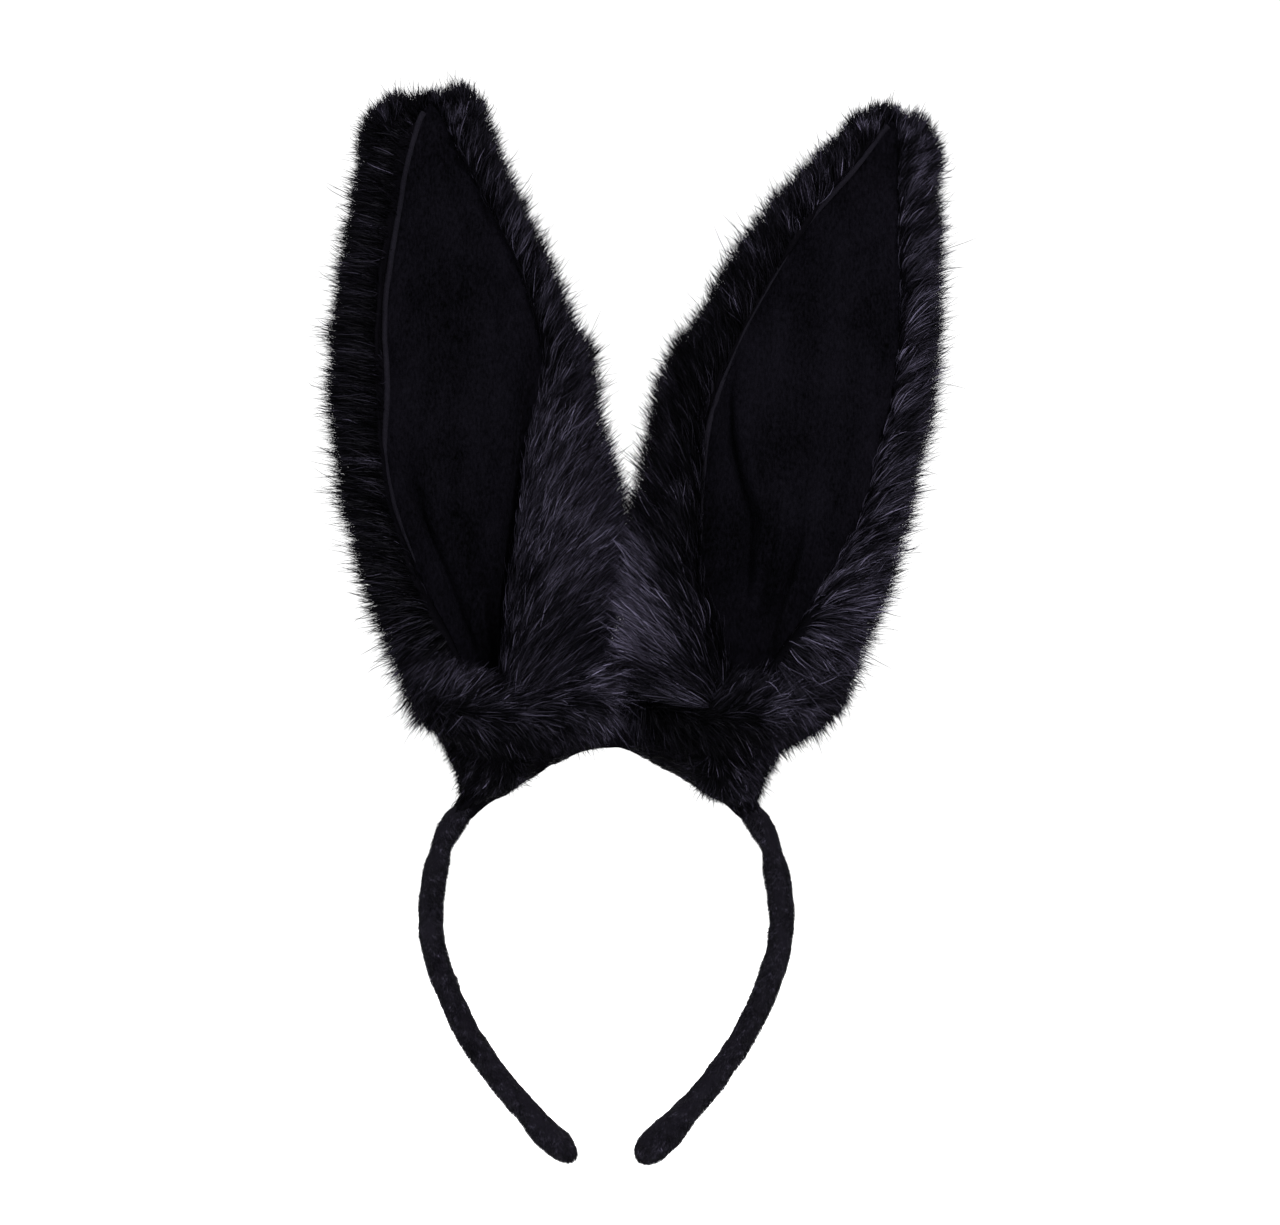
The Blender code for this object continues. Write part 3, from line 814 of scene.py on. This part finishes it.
def ear_painted_light(word, points, region):
    """Painted light and shade of the pile, from 0 to 1, by where it lies on an ear: lit lobes and
    margins that face the key light, shaded margins that face away.
    """
    x, z = points[..., X] / MM, points[..., Z] / MM
    if word == "left":
        # Painted highlight on the left ear's inner lobe, painted shade on its outer margin, which
        # faces away from the key light
        lobe = ramp(z, 34, 62) * (1 - ramp(z, 104, 150))
        inner = 0.21 + 0.12 * lobe
        outer = 0.03 + 0.18 * (1 - ramp(z, 20, 60))
    else:
        # Painted highlight on the right ear's inner lobe and outer margin, lit by the key light;
        # painted shade on the inner margin above the lobe
        lit_lobe = (1 - ramp(z, 58, 80)) * (1 - ramp(x + 0.42 * z, 38, 54))
        lit_lobe = lit_lobe * (0.35 + 0.65 * ramp(z, 22, 36))
        inner = 0.04 + 0.52 * lit_lobe + 0.16 * ramp(z, 150, 190)
        outer = 0.33 - 0.03 * ramp(z, 60, 120)
    front = np.where(region < 0, inner, outer)
    return np.where(region == 0, 0.26, front)


# Pieces of an ear's pile: name, on the front, height they part at, above it, strands, width
PILE_ZONES = (
    ("front_low", True, 100 * MM, False, 49000, 0.30 * MM),
    ("front_high", True, 100 * MM, True, 49000, 0.27 * MM),
    ("back_low", False, 105 * MM, False, 36000, 0.34 * MM),
    ("back_high", False, 105 * MM, True, 32000, 0.34 * MM),
)
EAR_SEEDS = {"left": 20, "right": 40}


def make_ear_pile(ear, hide, points, region, spot, height):
    flow = hair_flow(ear, points, region, spot, height)
    front = region != 0
    z = points[..., Z]
    near_rim = np.where(front, 1 - np.clip(spot, 0, 1), np.abs(spot) ** 3)
    near_seam = front * ramp(spot, 0.84, 0.96)
    length = np.where(front, 13 + 3 * near_rim, 14 + 3 * near_rim) * MM
    length = length * (1 - 0.42 * ramp(height, 160 * MM, 206 * MM))
    inner_lobe = (region == -1) * (1 - ramp(height, 60 * MM, 110 * MM))
    length = (length + inner_lobe * 2 * MM) * (1 - 0.25 * near_seam)
    inside = (region == -1) | ((region == 0) & (spot < -0.8))
    parting = inside * near_rim * (1 - ramp(z, 62 * MM, 92 * MM))
    tufts = np.clip(wander(points, 6 * MM, 60 + ear.side, 1), 0, 1) * near_rim * 1.3
    outer = (region == 1) | ((region == 0) & (spot > 0.6))
    foot = outer * (1 - ramp(height, 4 * MM, 26 * MM))
    length = length + (3.5 * parting + 5.0 * tufts + 4.0 * foot) * MM
    lift = np.where(front, 0.28 + 0.25 * near_rim, 0.35 + 0.3 * near_rim) + 0.12 * near_seam

    def flat(values):
        return values.reshape((-1,) + values.shape[2:])

    shade = ear_painted_light(ear.word, points, region)
    base = skin_of(hide, flat(flow), flat(length), flat(lift), flat(shade))
    turned = front & (spot > 1.03)
    made = []
    for i, (title, ahead, split, above, count, width) in enumerate(PILE_ZONES):
        where = (front == ahead) & ((height >= split) == above)
        weight = (where & ~turned) * (1 + 0.5 * near_rim + 4.5 * near_seam)
        skin = base | {"density": flat(weight.astype(float))}
        seed = 11 * i + EAR_SEEDS[ear.word]
        made.append(grow(f"{ear.word}_ear_pile_{title}", skin, count, seed, pile_look, width))
    return made


# ---- linings

# Creases of the linings: places (height in mm, share), depth in mm, half width in mm
PLEATS = {
    "left": (
        (((88, 0.60), (60, 0.56), (40, 0.48), (18, 0.38)), -2.2, 1.3),
        (((88, 0.70), (60, 0.65), (40, 0.56)), 1.2, 2.5),
        (((80, 0.50), (60, 0.46), (40, 0.40)), 1.0, 3.0),
        (((112, -0.54), (92, -0.36), (72, -0.23), (50, -0.06), (30, 0.06)), 1.5, 1.1),
        (((112, -0.60), (92, -0.42), (72, -0.29), (50, -0.12)), -1.0, 1.2),
        (((70, 0.20), (45, 0.24), (20, 0.22)), 1.2, 2.5),
        (((150, -0.10), (110, -0.05), (70, 0.00)), 0.8, 6.0),
    ),
    "right": (
        (((104, -0.70), (88, -0.56), (76, -0.40), (62, -0.18), (40, -0.08)), -3.2, 1.6),
        (((100, -0.80), (84, -0.66), (66, -0.50)), 1.6, 3.0),
        (((96, -0.50), (78, -0.28), (62, -0.05)), 1.4, 2.5),
        (((72, 0.02), (55, 0.12), (36, 0.16)), 1.8, 2.0),
        (((66, 0.22), (48, 0.30), (26, 0.30)), -1.8, 1.4),
        (((66, 0.34), (48, 0.40), (26, 0.42)), 1.6, 1.8),
        (((150, 0.15), (110, 0.10), (80, 0.12)), 0.8, 7.0),
    ),
}
LINING_ROWS = 130
LINING_COLUMNS = 56
LINING_FRONT = 9.0 * MM
LINING_TOP = 208.5 * MM
LINING_SLACK = 0.035


def make_lining(ear):
    height = np.linspace(2 * MM, LINING_TOP, LINING_ROWS)[:, None] + np.zeros(LINING_COLUMNS)
    u = np.linspace(0.0, 1.0, LINING_COLUMNS)[None, :] + np.zeros(height.shape)
    inner, outer = edge_shares(SEAMS[ear.word], height)
    low = 1.0 - ramp(height, 40 * MM, 110 * MM)
    inner = np.minimum(inner, -0.60 * low + inner * (1 - low)) - 0.03
    outer = np.maximum(outer, 0.72 * low + outer * (1 - low)) + 0.03
    share = inner + (outer - inner) * u
    tuck = np.maximum(0.0, 1 - np.minimum(u, 1 - u) / 0.035) ** 2
    lift = LINING_FRONT - 1.6 * MM * (1 - ramp(height, 10 * MM, 80 * MM)) - 2.4 * MM * tuck
    half = EAR_HALF_WIDTH * 0.9
    for places, depth, width in PLEATS[ear.word]:
        rows = sorted((h * MM, s) for h, s in places)
        (line,) = read_rows(rows, np.clip(height, rows[0][0], rows[-1][0]))
        fade = ramp(height, rows[0][0] - 14 * MM, rows[0][0] + 4 * MM)
        fade = fade * (1 - ramp(height, rows[-1][0] - 14 * MM, rows[-1][0] + 10 * MM))
        away = (share - line) * half / (width * MM)
        lift = lift + 1.5 * depth * MM * fade * np.exp(-away * away)
    points = ear.surface(share, height)
    lift = lift + 0.35 * MM * wander(points, 9 * MM, 5 + ear.side, 3)
    lift = lift + 0.7 * MM * wander(points, 30 * MM, 8 + ear.side, 1)
    points = points + ear.normal(share, height) * lift[..., None]
    lining = grid_mesh(f"{ear.word}_ear_lining", points, velvet_look, ear.side < 0)
    pins = (u < 0.03) | (u > 0.97) | (height > LINING_TOP - 4 * MM) | (height < 5 * MM)
    settle(lining, 0.9 * MM, slack=LINING_SLACK, pins=pins.ravel())
    subdivided(lining)
    thicken(lining, 0.7 * MM)
    bind_ear(lining, ear)
    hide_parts(f"{ear.word}_ear_lining_lower", f"{ear.word}_ear_lining_upper")


def capped(item):
    """Fills a tube's open ends."""
    form = bmesh.new()
    form.from_mesh(item.data)
    bmesh.ops.holes_fill(form, edges=[e for e in form.edges if e.is_boundary], sides=0)
    bmesh.ops.recalc_face_normals(form, faces=form.faces)
    form.to_mesh(item.data)
    form.free()
    return item


def tube(name, path, radius, look, sides):
    """A round tube along points, with filled ends."""
    radius = np.broadcast_to(np.asarray(radius, float), (len(path),))
    tangent = unit(np.gradient(path, axis=0))
    first = unit(np.cross(tangent, (0.0, 1.0, 0.0)))
    second = unit(np.cross(tangent, first))
    angle = np.arange(sides) / sides * 2 * math.pi
    ring = (
        path[:, None]
        + first[:, None] * (np.cos(angle)[None, :, None] * radius[:, None, None])
        + second[:, None] * (np.sin(angle)[None, :, None] * radius[:, None, None])
    )
    return capped(grid_mesh(name, ring, look, closed=True))


def fold_span(ear):
    """Where the ear starts and ends to bend at its fold."""
    centre = ear.place(np.array(0.0), 0.0, np.array(FOLD_HEIGHT))
    return centre - ear.up() * 22 * MM, centre + ear.up() * 22 * MM


def bind_ear(item, ear):
    """Bakes a piece of the ear into place. The fold's span is worked out, but nothing bends the
    piece.
    """
    fold_span(ear)
    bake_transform(item)


def bind_base(items):
    """Bakes the pieces at an ear's base, between the crown and the ear, into place; nothing bends
    them.
    """
    for item in items:
        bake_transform(item)


def make_welts(ear):
    """Piping along the lining's left-hand seam."""
    word = ear.word
    way = 1 if ear.side < 0 else -1
    height = np.linspace(46 * MM, 207 * MM, 160)
    share = edge_shares(SEAMS[word], height)[(way + 1) // 2] - way * 0.02
    path = ear.raised(share, height, 9.5 * MM)
    path = path + 0.25 * MM * wander(path, 7 * MM, 70 + ear.side, 1)[:, None]
    radius = 1.05 * MM * np.sqrt(np.clip((height - 44 * MM) / (26 * MM), 0.05, 1))
    bind_ear(tube(f"{word}_ear_welt", path, radius, lit_piping_look, 12), ear)


WIRE_RADIUS = 0.8 * MM
WIRE_TOP = 197 * MM
WIRE_SHARE = 0.68


def make_frame(ear):
    """The stiffener sheet and the wire loop inside the ear."""
    word = ear.word
    rows, columns = 60, 26
    height = np.linspace(46 * MM, 195.5 * MM, rows)[:, None] + np.zeros(columns)
    share = np.linspace(-0.58, 0.58, columns)[None, :] + np.zeros(height.shape)
    points = ear.raised(share, height, 3.6 * MM)
    card = grid_mesh(f"{word}_ear_stiffener", points, buckram_look, ear.side < 0)
    thicken(card, 1.0 * MM)
    bind_ear(card, ear)
    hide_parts(f"{word}_ear_stiffener_lower", f"{word}_ear_stiffener_upper")
    rise = np.linspace(1 * MM, WIRE_TOP, 90)
    shares = 0.30 + 0.38 * smoothstep(rise / (46 * MM))
    top = np.linspace(-WIRE_SHARE, WIRE_SHARE, 21)[1:-1]
    shares = np.concatenate([-shares, top, shares[::-1]])
    bow = 3.0 * MM * (1 - (top / WIRE_SHARE) ** 2)
    heights = np.concatenate([rise, WIRE_TOP + bow, rise[::-1]])
    path = ear.raised(shares, heights, 3.4 * MM)
    loop = tube(f"{word}_ear_wire", path, WIRE_RADIUS, wire_look, 8)
    bind_ear(loop, ear)
    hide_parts(f"{word}_ear_wire_leg_inner", f"{word}_ear_wire_leg_outer",
                f"{word}_ear_wire_arch")


# ---- ear base

ROLLS = {
    "left": (
        (0.0, -66, -3, 34, 4.0), (0.16, -59, -7, 21, 5.8), (0.34, -47, -9.5, 15.0, 7.2),
        (0.56, -30, -10, 14.5, 7.8), (0.76, -14, -9.5, 17.5, 7.6), (0.90, -5, -8, 24, 6.4),
        (1.0, -1, -5, 33, 4.2),
    ),
    "right": (
        (0.0, 8, -5, 33, 4.2), (0.12, 13, -8, 24, 6.0), (0.30, 26, -9.5, 16.0, 7.4),
        (0.50, 42, -10, 13.5, 7.8), (0.70, 58, -9.5, 16.0, 7.4), (0.87, 72, -7, 25, 6.2),
        (1.0, 80, -4, 35, 4.2),
    ),
}
ROLL_FANS = {"left": (-62, 0, 2), "right": (20, 0, -22)}
ROLL_STRANDS = 34000
GUSSET_STRANDS = 9000


def make_base_roll(ear):
    """The stuffed roll of hide that closes the front of an ear's base."""
    word = ear.word
    x, y, z, r = read_rows(ROLLS[word], np.linspace(0, 1, 90))
    path = np.stack([x, y, z], -1) * MM
    radius = r * MM * (1 + 0.05 * wander(path, 9 * MM, 4 + ear.side))
    rounding = np.array([0.35, 0.65, 0.85, 0.95])
    radius[:4] *= rounding
    radius[-4:] *= rounding[::-1]
    roll = tube(f"{word}_ear_base_roll", path, radius, hide_look, 28)

    def flow(points, normals):
        fan = points - np.array(ROLL_FANS[word]) * MM
        fan[:, Y] = 0
        below = ramp(-normals[:, Z], 0.0, 0.6)[:, None]
        return unit(unit(fan) + (0.15, 0, 0) + np.array([0, -0.1, -2.0]) * below)

    def shade(points, normals):
        # Painted light and shade: a painted highlight on the parting between the ears and towards
        # the right ear's outer end, painted shade on the roll's underside
        x = points[:, X] / MM
        parting = 0.40 * bell(x, 3, 10)
        side = 0.22 if word == "left" else 0.07 + 0.26 * ramp(x, 36, 58)
        return side + parting - 0.16 * ramp(-normals[:, Z], 0.0, 0.6)

    skin = skin_of(
        roll,
        flow,
        lambda p, n: (12.5 + 7 * bell(p[:, X] / MM, 4, 9)) * MM,
        0.22,
        shade,
        lambda p, n: np.clip(0.4 - n[:, Y] + 0.8 * ramp(-n[:, Z], 0.2, 0.7), 0.02, 1.6),
    )
    pile = grow(f"{word}_ear_pile_base", skin, ROLL_STRANDS, 71 + ear.side, pile_look, 0.34 * MM)
    bind_base((roll, pile))


def make_base_gusset(ear):
    """The hide that closes an ear's base behind, from inside the cover up into the ear."""
    word = ear.word
    rows, columns = 24, 60
    across = np.linspace(-0.92, 0.92, columns)
    high = np.full(columns, 32 * MM)
    top = ear.raised(across, high, 1.6 * MM)
    stations = ear.side * np.linspace(1 * MM, 54 * MM, columns)
    foot = band_points(stations) + np.array([0, 5.0, 2.0]) * MM
    rise = np.linspace(0.0, 1.0, rows)[:, None, None]
    points = foot * (1 - rise) + top * rise
    gusset = grid_mesh(f"{word}_ear_base_gusset", points, hide_look, ear.side > 0)
    upwards = unit(ear.up() + np.array([0, 0.35, 0]))
    skin = skin_of(gusset, lambda p, n: np.tile(upwards, (len(p), 1)), 11.0 * MM, 0.3, 0.24)
    title = f"{word}_ear_pile_gusset"
    pile = grow(title, skin, GUSSET_STRANDS, 81 + ear.side, pile_look, 0.36 * MM)
    thicken(gusset, HIDE_THICKNESS)
    bind_base((gusset, pile))


# ---- the band


def make_cover():
    """The fur hide over the crown, gathered at both ends."""
    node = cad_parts["crown_fur_cover"]
    cover = add_object("crown_cover_hide", node.data.copy())
    cover.data.materials.clear()
    cover.data.materials.append(hide_look)
    even = cover.modifiers.new("even", "REMESH")
    even.mode = "VOXEL"
    even.voxel_size = 2.2 * MM
    even.use_smooth_shade = True
    relax = cover.modifiers.new("relax", "SMOOTH")
    relax.iterations = 3
    applied(cover)
    settle(cover, 0.8 * MM, pressure=4.0)
    subdivided(cover)
    points, normals, _ = mesh_arrays(cover)
    lumps = 0.5 * MM * wander(points, 8 * MM, 12)
    ends = ramp(np.abs(points[:, X]), 36 * MM, 46 * MM)
    along = np.arctan2(points[:, Y], points[:, Z] - CORE_HEIGHT + np.abs(points[:, X]) * 0.45)
    gathers = np.sin(along * 11 + 2.0 * wander(points, 14 * MM, 15)) * 0.8 * MM
    points = points + normals * (lumps + gathers * ends)[:, None]
    flank = ramp(np.abs(points[:, X]), 40 * MM, 54 * MM) * ramp(points[:, Z], -20 * MM, -4 * MM)
    points[:, X] += flank * np.where(points[:, X] > 0, -1.5 * MM, 4.5 * MM)
    stations = np.linspace(-FLEX_DISTANCE, FLEX_DISTANCE, 249)
    centres = band_points(stations)
    apart = points[:, None, ::2] - centres[None, :, ::2]
    nearest = np.argmin((apart**2).sum(-1), 1)
    draw = 0.24 * ramp(np.abs(stations[nearest]), 44 * MM, 60 * MM)
    points = points + (centres[nearest] - points) * draw[:, None]
    cover.data.vertices.foreach_set("co", points.astype(np.float32).ravel())
    cover.data.update()
    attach(cover, "crown")
    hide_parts("crown_fur_cover")
    return cover


def cover_flow(points, normals):
    """The pile on the crown: strands lie along the band, wavy in the middle, up into
    the parting, and down the arms at the ends."""
    x, z = points[:, X] / MM, points[:, Z] / MM
    flow = np.zeros(points.shape)
    parting = bell(x, 6, 11) * ramp(z, -4, 12)
    right = ramp(x, 30, 44)
    left = 1 - ramp(x, -42, -24)
    side = np.where(x < 6, 1.0, -1.0)
    flow[:, X] = side * (1 - 0.5 * parting)
    flow[:, Z] = -np.sign(x) * side * np.clip(np.abs(x) / 60, 0, 1) * 0.6 + 1.3 * parting
    wave = 0.35 * np.sin(x * 0.35 + z * 0.5)
    flow[:, Z] += wave * (1 - parting)
    down = np.stack([np.sign(x) * 0.7, np.zeros(len(x)), -np.full(len(x), 0.9)], -1)
    ends = np.maximum(right, left)[:, None]
    return unit(flow * (1 - ends) + down * ends)


def cover_painted_light(points, normals):
    # Painted light and shade of the crown's pile: shaded on the left, away from the key light, a
    # shaded patch in the middle under the ears' base rolls, lit towards the right end
    x, z = points[:, X] / MM, points[:, Z] / MM
    shaded_left = 1 - ramp(x, -30, -12)
    shaded_patch = np.exp(-(((x - 2) / 6) ** 2 + ((z - 5) / 5) ** 2))
    return 0.12 - 0.08 * shaded_left - 0.20 * shaded_patch + 0.14 * ramp(x, 34, 50)


# The cover's pile: name, strands, the way it faces, seed
COVER_PILES = (("front", 46000, -1, 91), ("back", 30000, 1, 92))


def make_cover_pile(cover):
    def length(p, n):
        x, z = p[:, X] / MM, p[:, Z] / MM
        outer_side = ramp(n[:, X] * np.sign(x), 0.2, 0.7) * ramp(np.abs(x), 30, 44)
        long = 10.0 - 2.0 * (1 - ramp(x, -34, -14)) - 2.5 * ramp(np.abs(x), 34, 48)
        inner = p[:, Z] / MM + 0.0125 * x * x
        long = (0.30 + 0.70 * ramp(inner, 1.0, 9.0)) * long
        mouth = 1 - 0.45 * ramp(-z, 9, 17)
        return np.maximum(long, np.where(x > 0, 11.0, 8.0) * outer_side) * mouth * MM

    def lift(p, n):
        outer_side = ramp(n[:, X] * np.sign(p[:, X]), 0.2, 0.7) * ramp(p[:, Z], -14 * MM, -2 * MM)
        return 0.03 + 0.15 * ramp(n[:, Z], -0.6, 0.2) + 0.5 * outer_side

    for title, count, facing, seed in COVER_PILES:
        skin = skin_of(
            cover, cover_flow, length, lift, cover_painted_light,
            lambda p, n: np.clip(0.55 + facing * n[:, Y] * 1.2, 0.0, 1.3),
        )
        pile = grow(f"crown_pile_{title}", skin, count, seed, pile_look, 0.32 * MM,
                    hug=0.35, droop=0.02)
        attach(pile, "crown")


def arm_radii(side, distance):
    """(across, outward) half sizes of the velour sleeve along an arm."""
    bare = ramp(distance, FLEX_DISTANCE - 8 * MM, FLEX_DISTANCE + 4 * MM)
    wide = (5.0 + 0.9 * bare) * MM
    deep = (2.6 + 1.55 * bare) * MM
    pad = BAND_END - 12 * MM
    bulb = ramp(distance, pad - 7 * MM, pad + 8 * MM)
    tip = 5.0 if side < 0 else 5.6
    wide = wide + (7.4 * MM - wide) * bulb
    deep = deep + (tip * MM - deep) * bulb
    return wide, deep


def make_arm(side, word):
    """The velour sleeve of one arm, from the crown's middle to the padded tip."""
    end = BAND_END + 9.5 * MM
    count, sides = 260, 56
    distance = np.linspace(0.3 * MM, end, count)
    centre, along, outward = band_frames(side * np.minimum(distance, BAND_END))
    direction = along * side
    past = np.maximum(distance - BAND_END, 0.0)
    centre = centre + direction * past[:, None]
    inward = 1.5 * MM if side < 0 else 1.0 * MM
    outward_tip = 1.2 * MM * ramp(distance, BAND_END - 16 * MM, BAND_END - 4 * MM)
    let_go = 1 - 0.4 * ramp(distance, BAND_END - 12 * MM, BAND_END)
    drawn = ramp(distance, 96 * MM, 136 * MM) * let_go
    centre = centre + outward * (outward_tip - inward * drawn)[:, None]
    cap = np.sqrt(np.clip(1 - (past / (9.7 * MM)) ** 2, 0.0, 1.0))
    angle = np.arange(sides) / sides * 2 * math.pi
    wide, deep = arm_radii(side, distance)
    narrow = bell(distance, 72 * MM, 7 * MM) * (0.16 if side < 0 else 0.10)
    wide, deep = wide * cap * (1 - 0.5 * narrow), deep * cap * (1 - narrow)
    ring = (
        centre[:, None]
        + np.array([0, 1.0, 0]) * (np.sin(angle)[None, :, None] * wide[:, None, None])
        + outward[:, None] * (np.cos(angle)[None, :, None] * deep[:, None, None])
    )
    normal = unit(ring - centre[:, None])
    fine = 0.32 * MM * wander(ring, 7 * MM, 22 + side, 3)
    lumps = fine + 0.35 * MM * wander(ring, 16 * MM, 26 + side, 1)
    spiral = np.sin(angle[None, :] * 2 + distance[:, None] / (3.2 * MM))
    gather = bell(distance, 74 * MM, 13 * MM)[:, None]
    lumps = lumps + spiral * gather * 0.45 * MM
    seam = bell(angle, math.pi, 0.10)[None, :]
    lumps = lumps - seam * 0.35 * MM
    shown = ramp(distance, 50 * MM, 62 * MM)[:, None] * cap[:, None]
    ring = ring + normal * (lumps * shown)[..., None]
    return capped(grid_mesh(f"{word}_arm_velour", ring, velour_look, closed=True))


ARM_STRANDS = 42000


def make_arm_pile(side, word, sleeve):
    def flow(p, n):
        down = np.stack([-side * 0.2 * np.ones(len(p)), 0 * p[:, X], -np.ones(len(p))], -1)
        wild = np.stack([wander(p, 6 * MM, s, 1) for s in (31, 32, 33)], -1)
        return unit(down + wild * 1.1)

    def bare(p, n):
        return np.where(np.abs(p[:, X]) + np.maximum(0, -p[:, Z]) > FLEX_DISTANCE, 1.0, 0.0)

    def shade(p, n):
        return 0.28 + 0.12 * wander(p * (1, 1, 0.3), 3.0 * MM, 35, 1)

    skin = skin_of(sleeve, flow, 1.7 * MM, 0.55, shade, bare)
    return grow(f"{word}_arm_pile", skin, ARM_STRANDS, 101 + side, nap_look, 0.20 * MM,
                segments=2, cell=1.6 * MM, curl=0.1 * MM, hug=0.15, droop=0.0, highlight_streaks=0.32)


def make_arms():
    for side, word in SIDES:
        sleeve = make_arm(side, word)
        pile = make_arm_pile(side, word, sleeve)
        for item in (sleeve, pile):
            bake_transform(item)
        stood = [f"{word}_arm_sleeve", f"{word}_tip_pad"]
        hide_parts(*(stood + (["crown_sleeve"] if side < 0 else [])))


def dress_cad():
    """Finishes for the CAD nodes that still show."""
    for name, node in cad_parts.items():
        look = steel_look if "core" in name else wire_look
        if not node.hide_render:
            node.data.materials.clear()
            node.data.materials.append(look)


# ---- build


def make_ears():
    for side, word in SIDES:
        ear = Ear(side, word, LEANS[word])
        hide, points, region, spot, height = make_hide(ear)
        piles = make_ear_pile(ear, hide, points, region, spot, height)
        thicken(hide, HIDE_THICKNESS)
        for item in [hide] + piles:
            bind_ear(item, ear)
        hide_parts(f"{word}_ear_fur_lower", f"{word}_ear_fur_upper")
        make_lining(ear)
        make_welts(ear)
        make_frame(ear)
        make_base_roll(ear)
        make_base_gusset(ear)


FLOOR_HEIGHT = -0.175  # below the arms' tips where they spring open furthest
FLOOR_REACH = 4
SKY_STRENGTH = 1.12
SENSOR = 36.0
CAMERA_DISTANCE = 1.6
VIEW_WIDTH = 0.448
VIEW_CENTRE = (0.0119, 0.0481)


def area_light(name, place, target, power, size, colour=(1.0, 1.0, 1.0)):
    data = bpy.data.lights.new(name, "AREA")
    data.energy = power
    data.size = size
    data.color = colour
    light = add_object(name, data)
    light.location = place
    light.rotation_euler = (Vector(target) - Vector(place)).to_track_quat("-Z", "Y").to_euler()


def make_studio():
    look = shader_of("pale_floor", (0.93, 0.93, 0.93), 0.9)[0]
    corners = ((-1, -1), (1, -1), (1, 1), (-1, 1))
    points = [(x * FLOOR_REACH, y * FLOOR_REACH, FLOOR_HEIGHT) for x, y in corners]
    floor = mesh_from("floor", points, [(0, 1, 2, 3)], look)
    world = bpy.data.worlds.new("studio")
    bpy.context.scene.world = world
    world.use_nodes = True
    sky = world.node_tree.nodes["Background"].inputs
    sky["Color"].default_value = (1.0, 1.0, 1.0, 1.0)
    sky["Strength"].default_value = SKY_STRENGTH
    area_light("key", (0.62, -1.2, 1.05), (0.01, 0, 0.06), 115, 0.60, (0.98, 0.97, 1.0))
    area_light("fill", (-1.1, -0.9, 0.7), (0.0, 0, 0.06), 45, 0.6, (0.96, 0.97, 1.0))
    area_light("back", (0.2, 1.2, 1.0), (0.0, 0, 0.08), 20, 0.8)
    data = bpy.data.cameras.new("camera")
    data.sensor_width = SENSOR
    data.lens = SENSOR * CAMERA_DISTANCE / VIEW_WIDTH
    camera = add_object("camera", data)
    camera.location = (VIEW_CENTRE[0], -CAMERA_DISTANCE, VIEW_CENTRE[1])
    camera.rotation_euler = (math.radians(90), 0, 0)
    bpy.context.scene.camera = camera
    bpy.context.scene.view_settings.view_transform = "Standard"


make_ears()
cover = make_cover()
make_cover_pile(cover)
make_arms()
dress_cad()
make_studio()
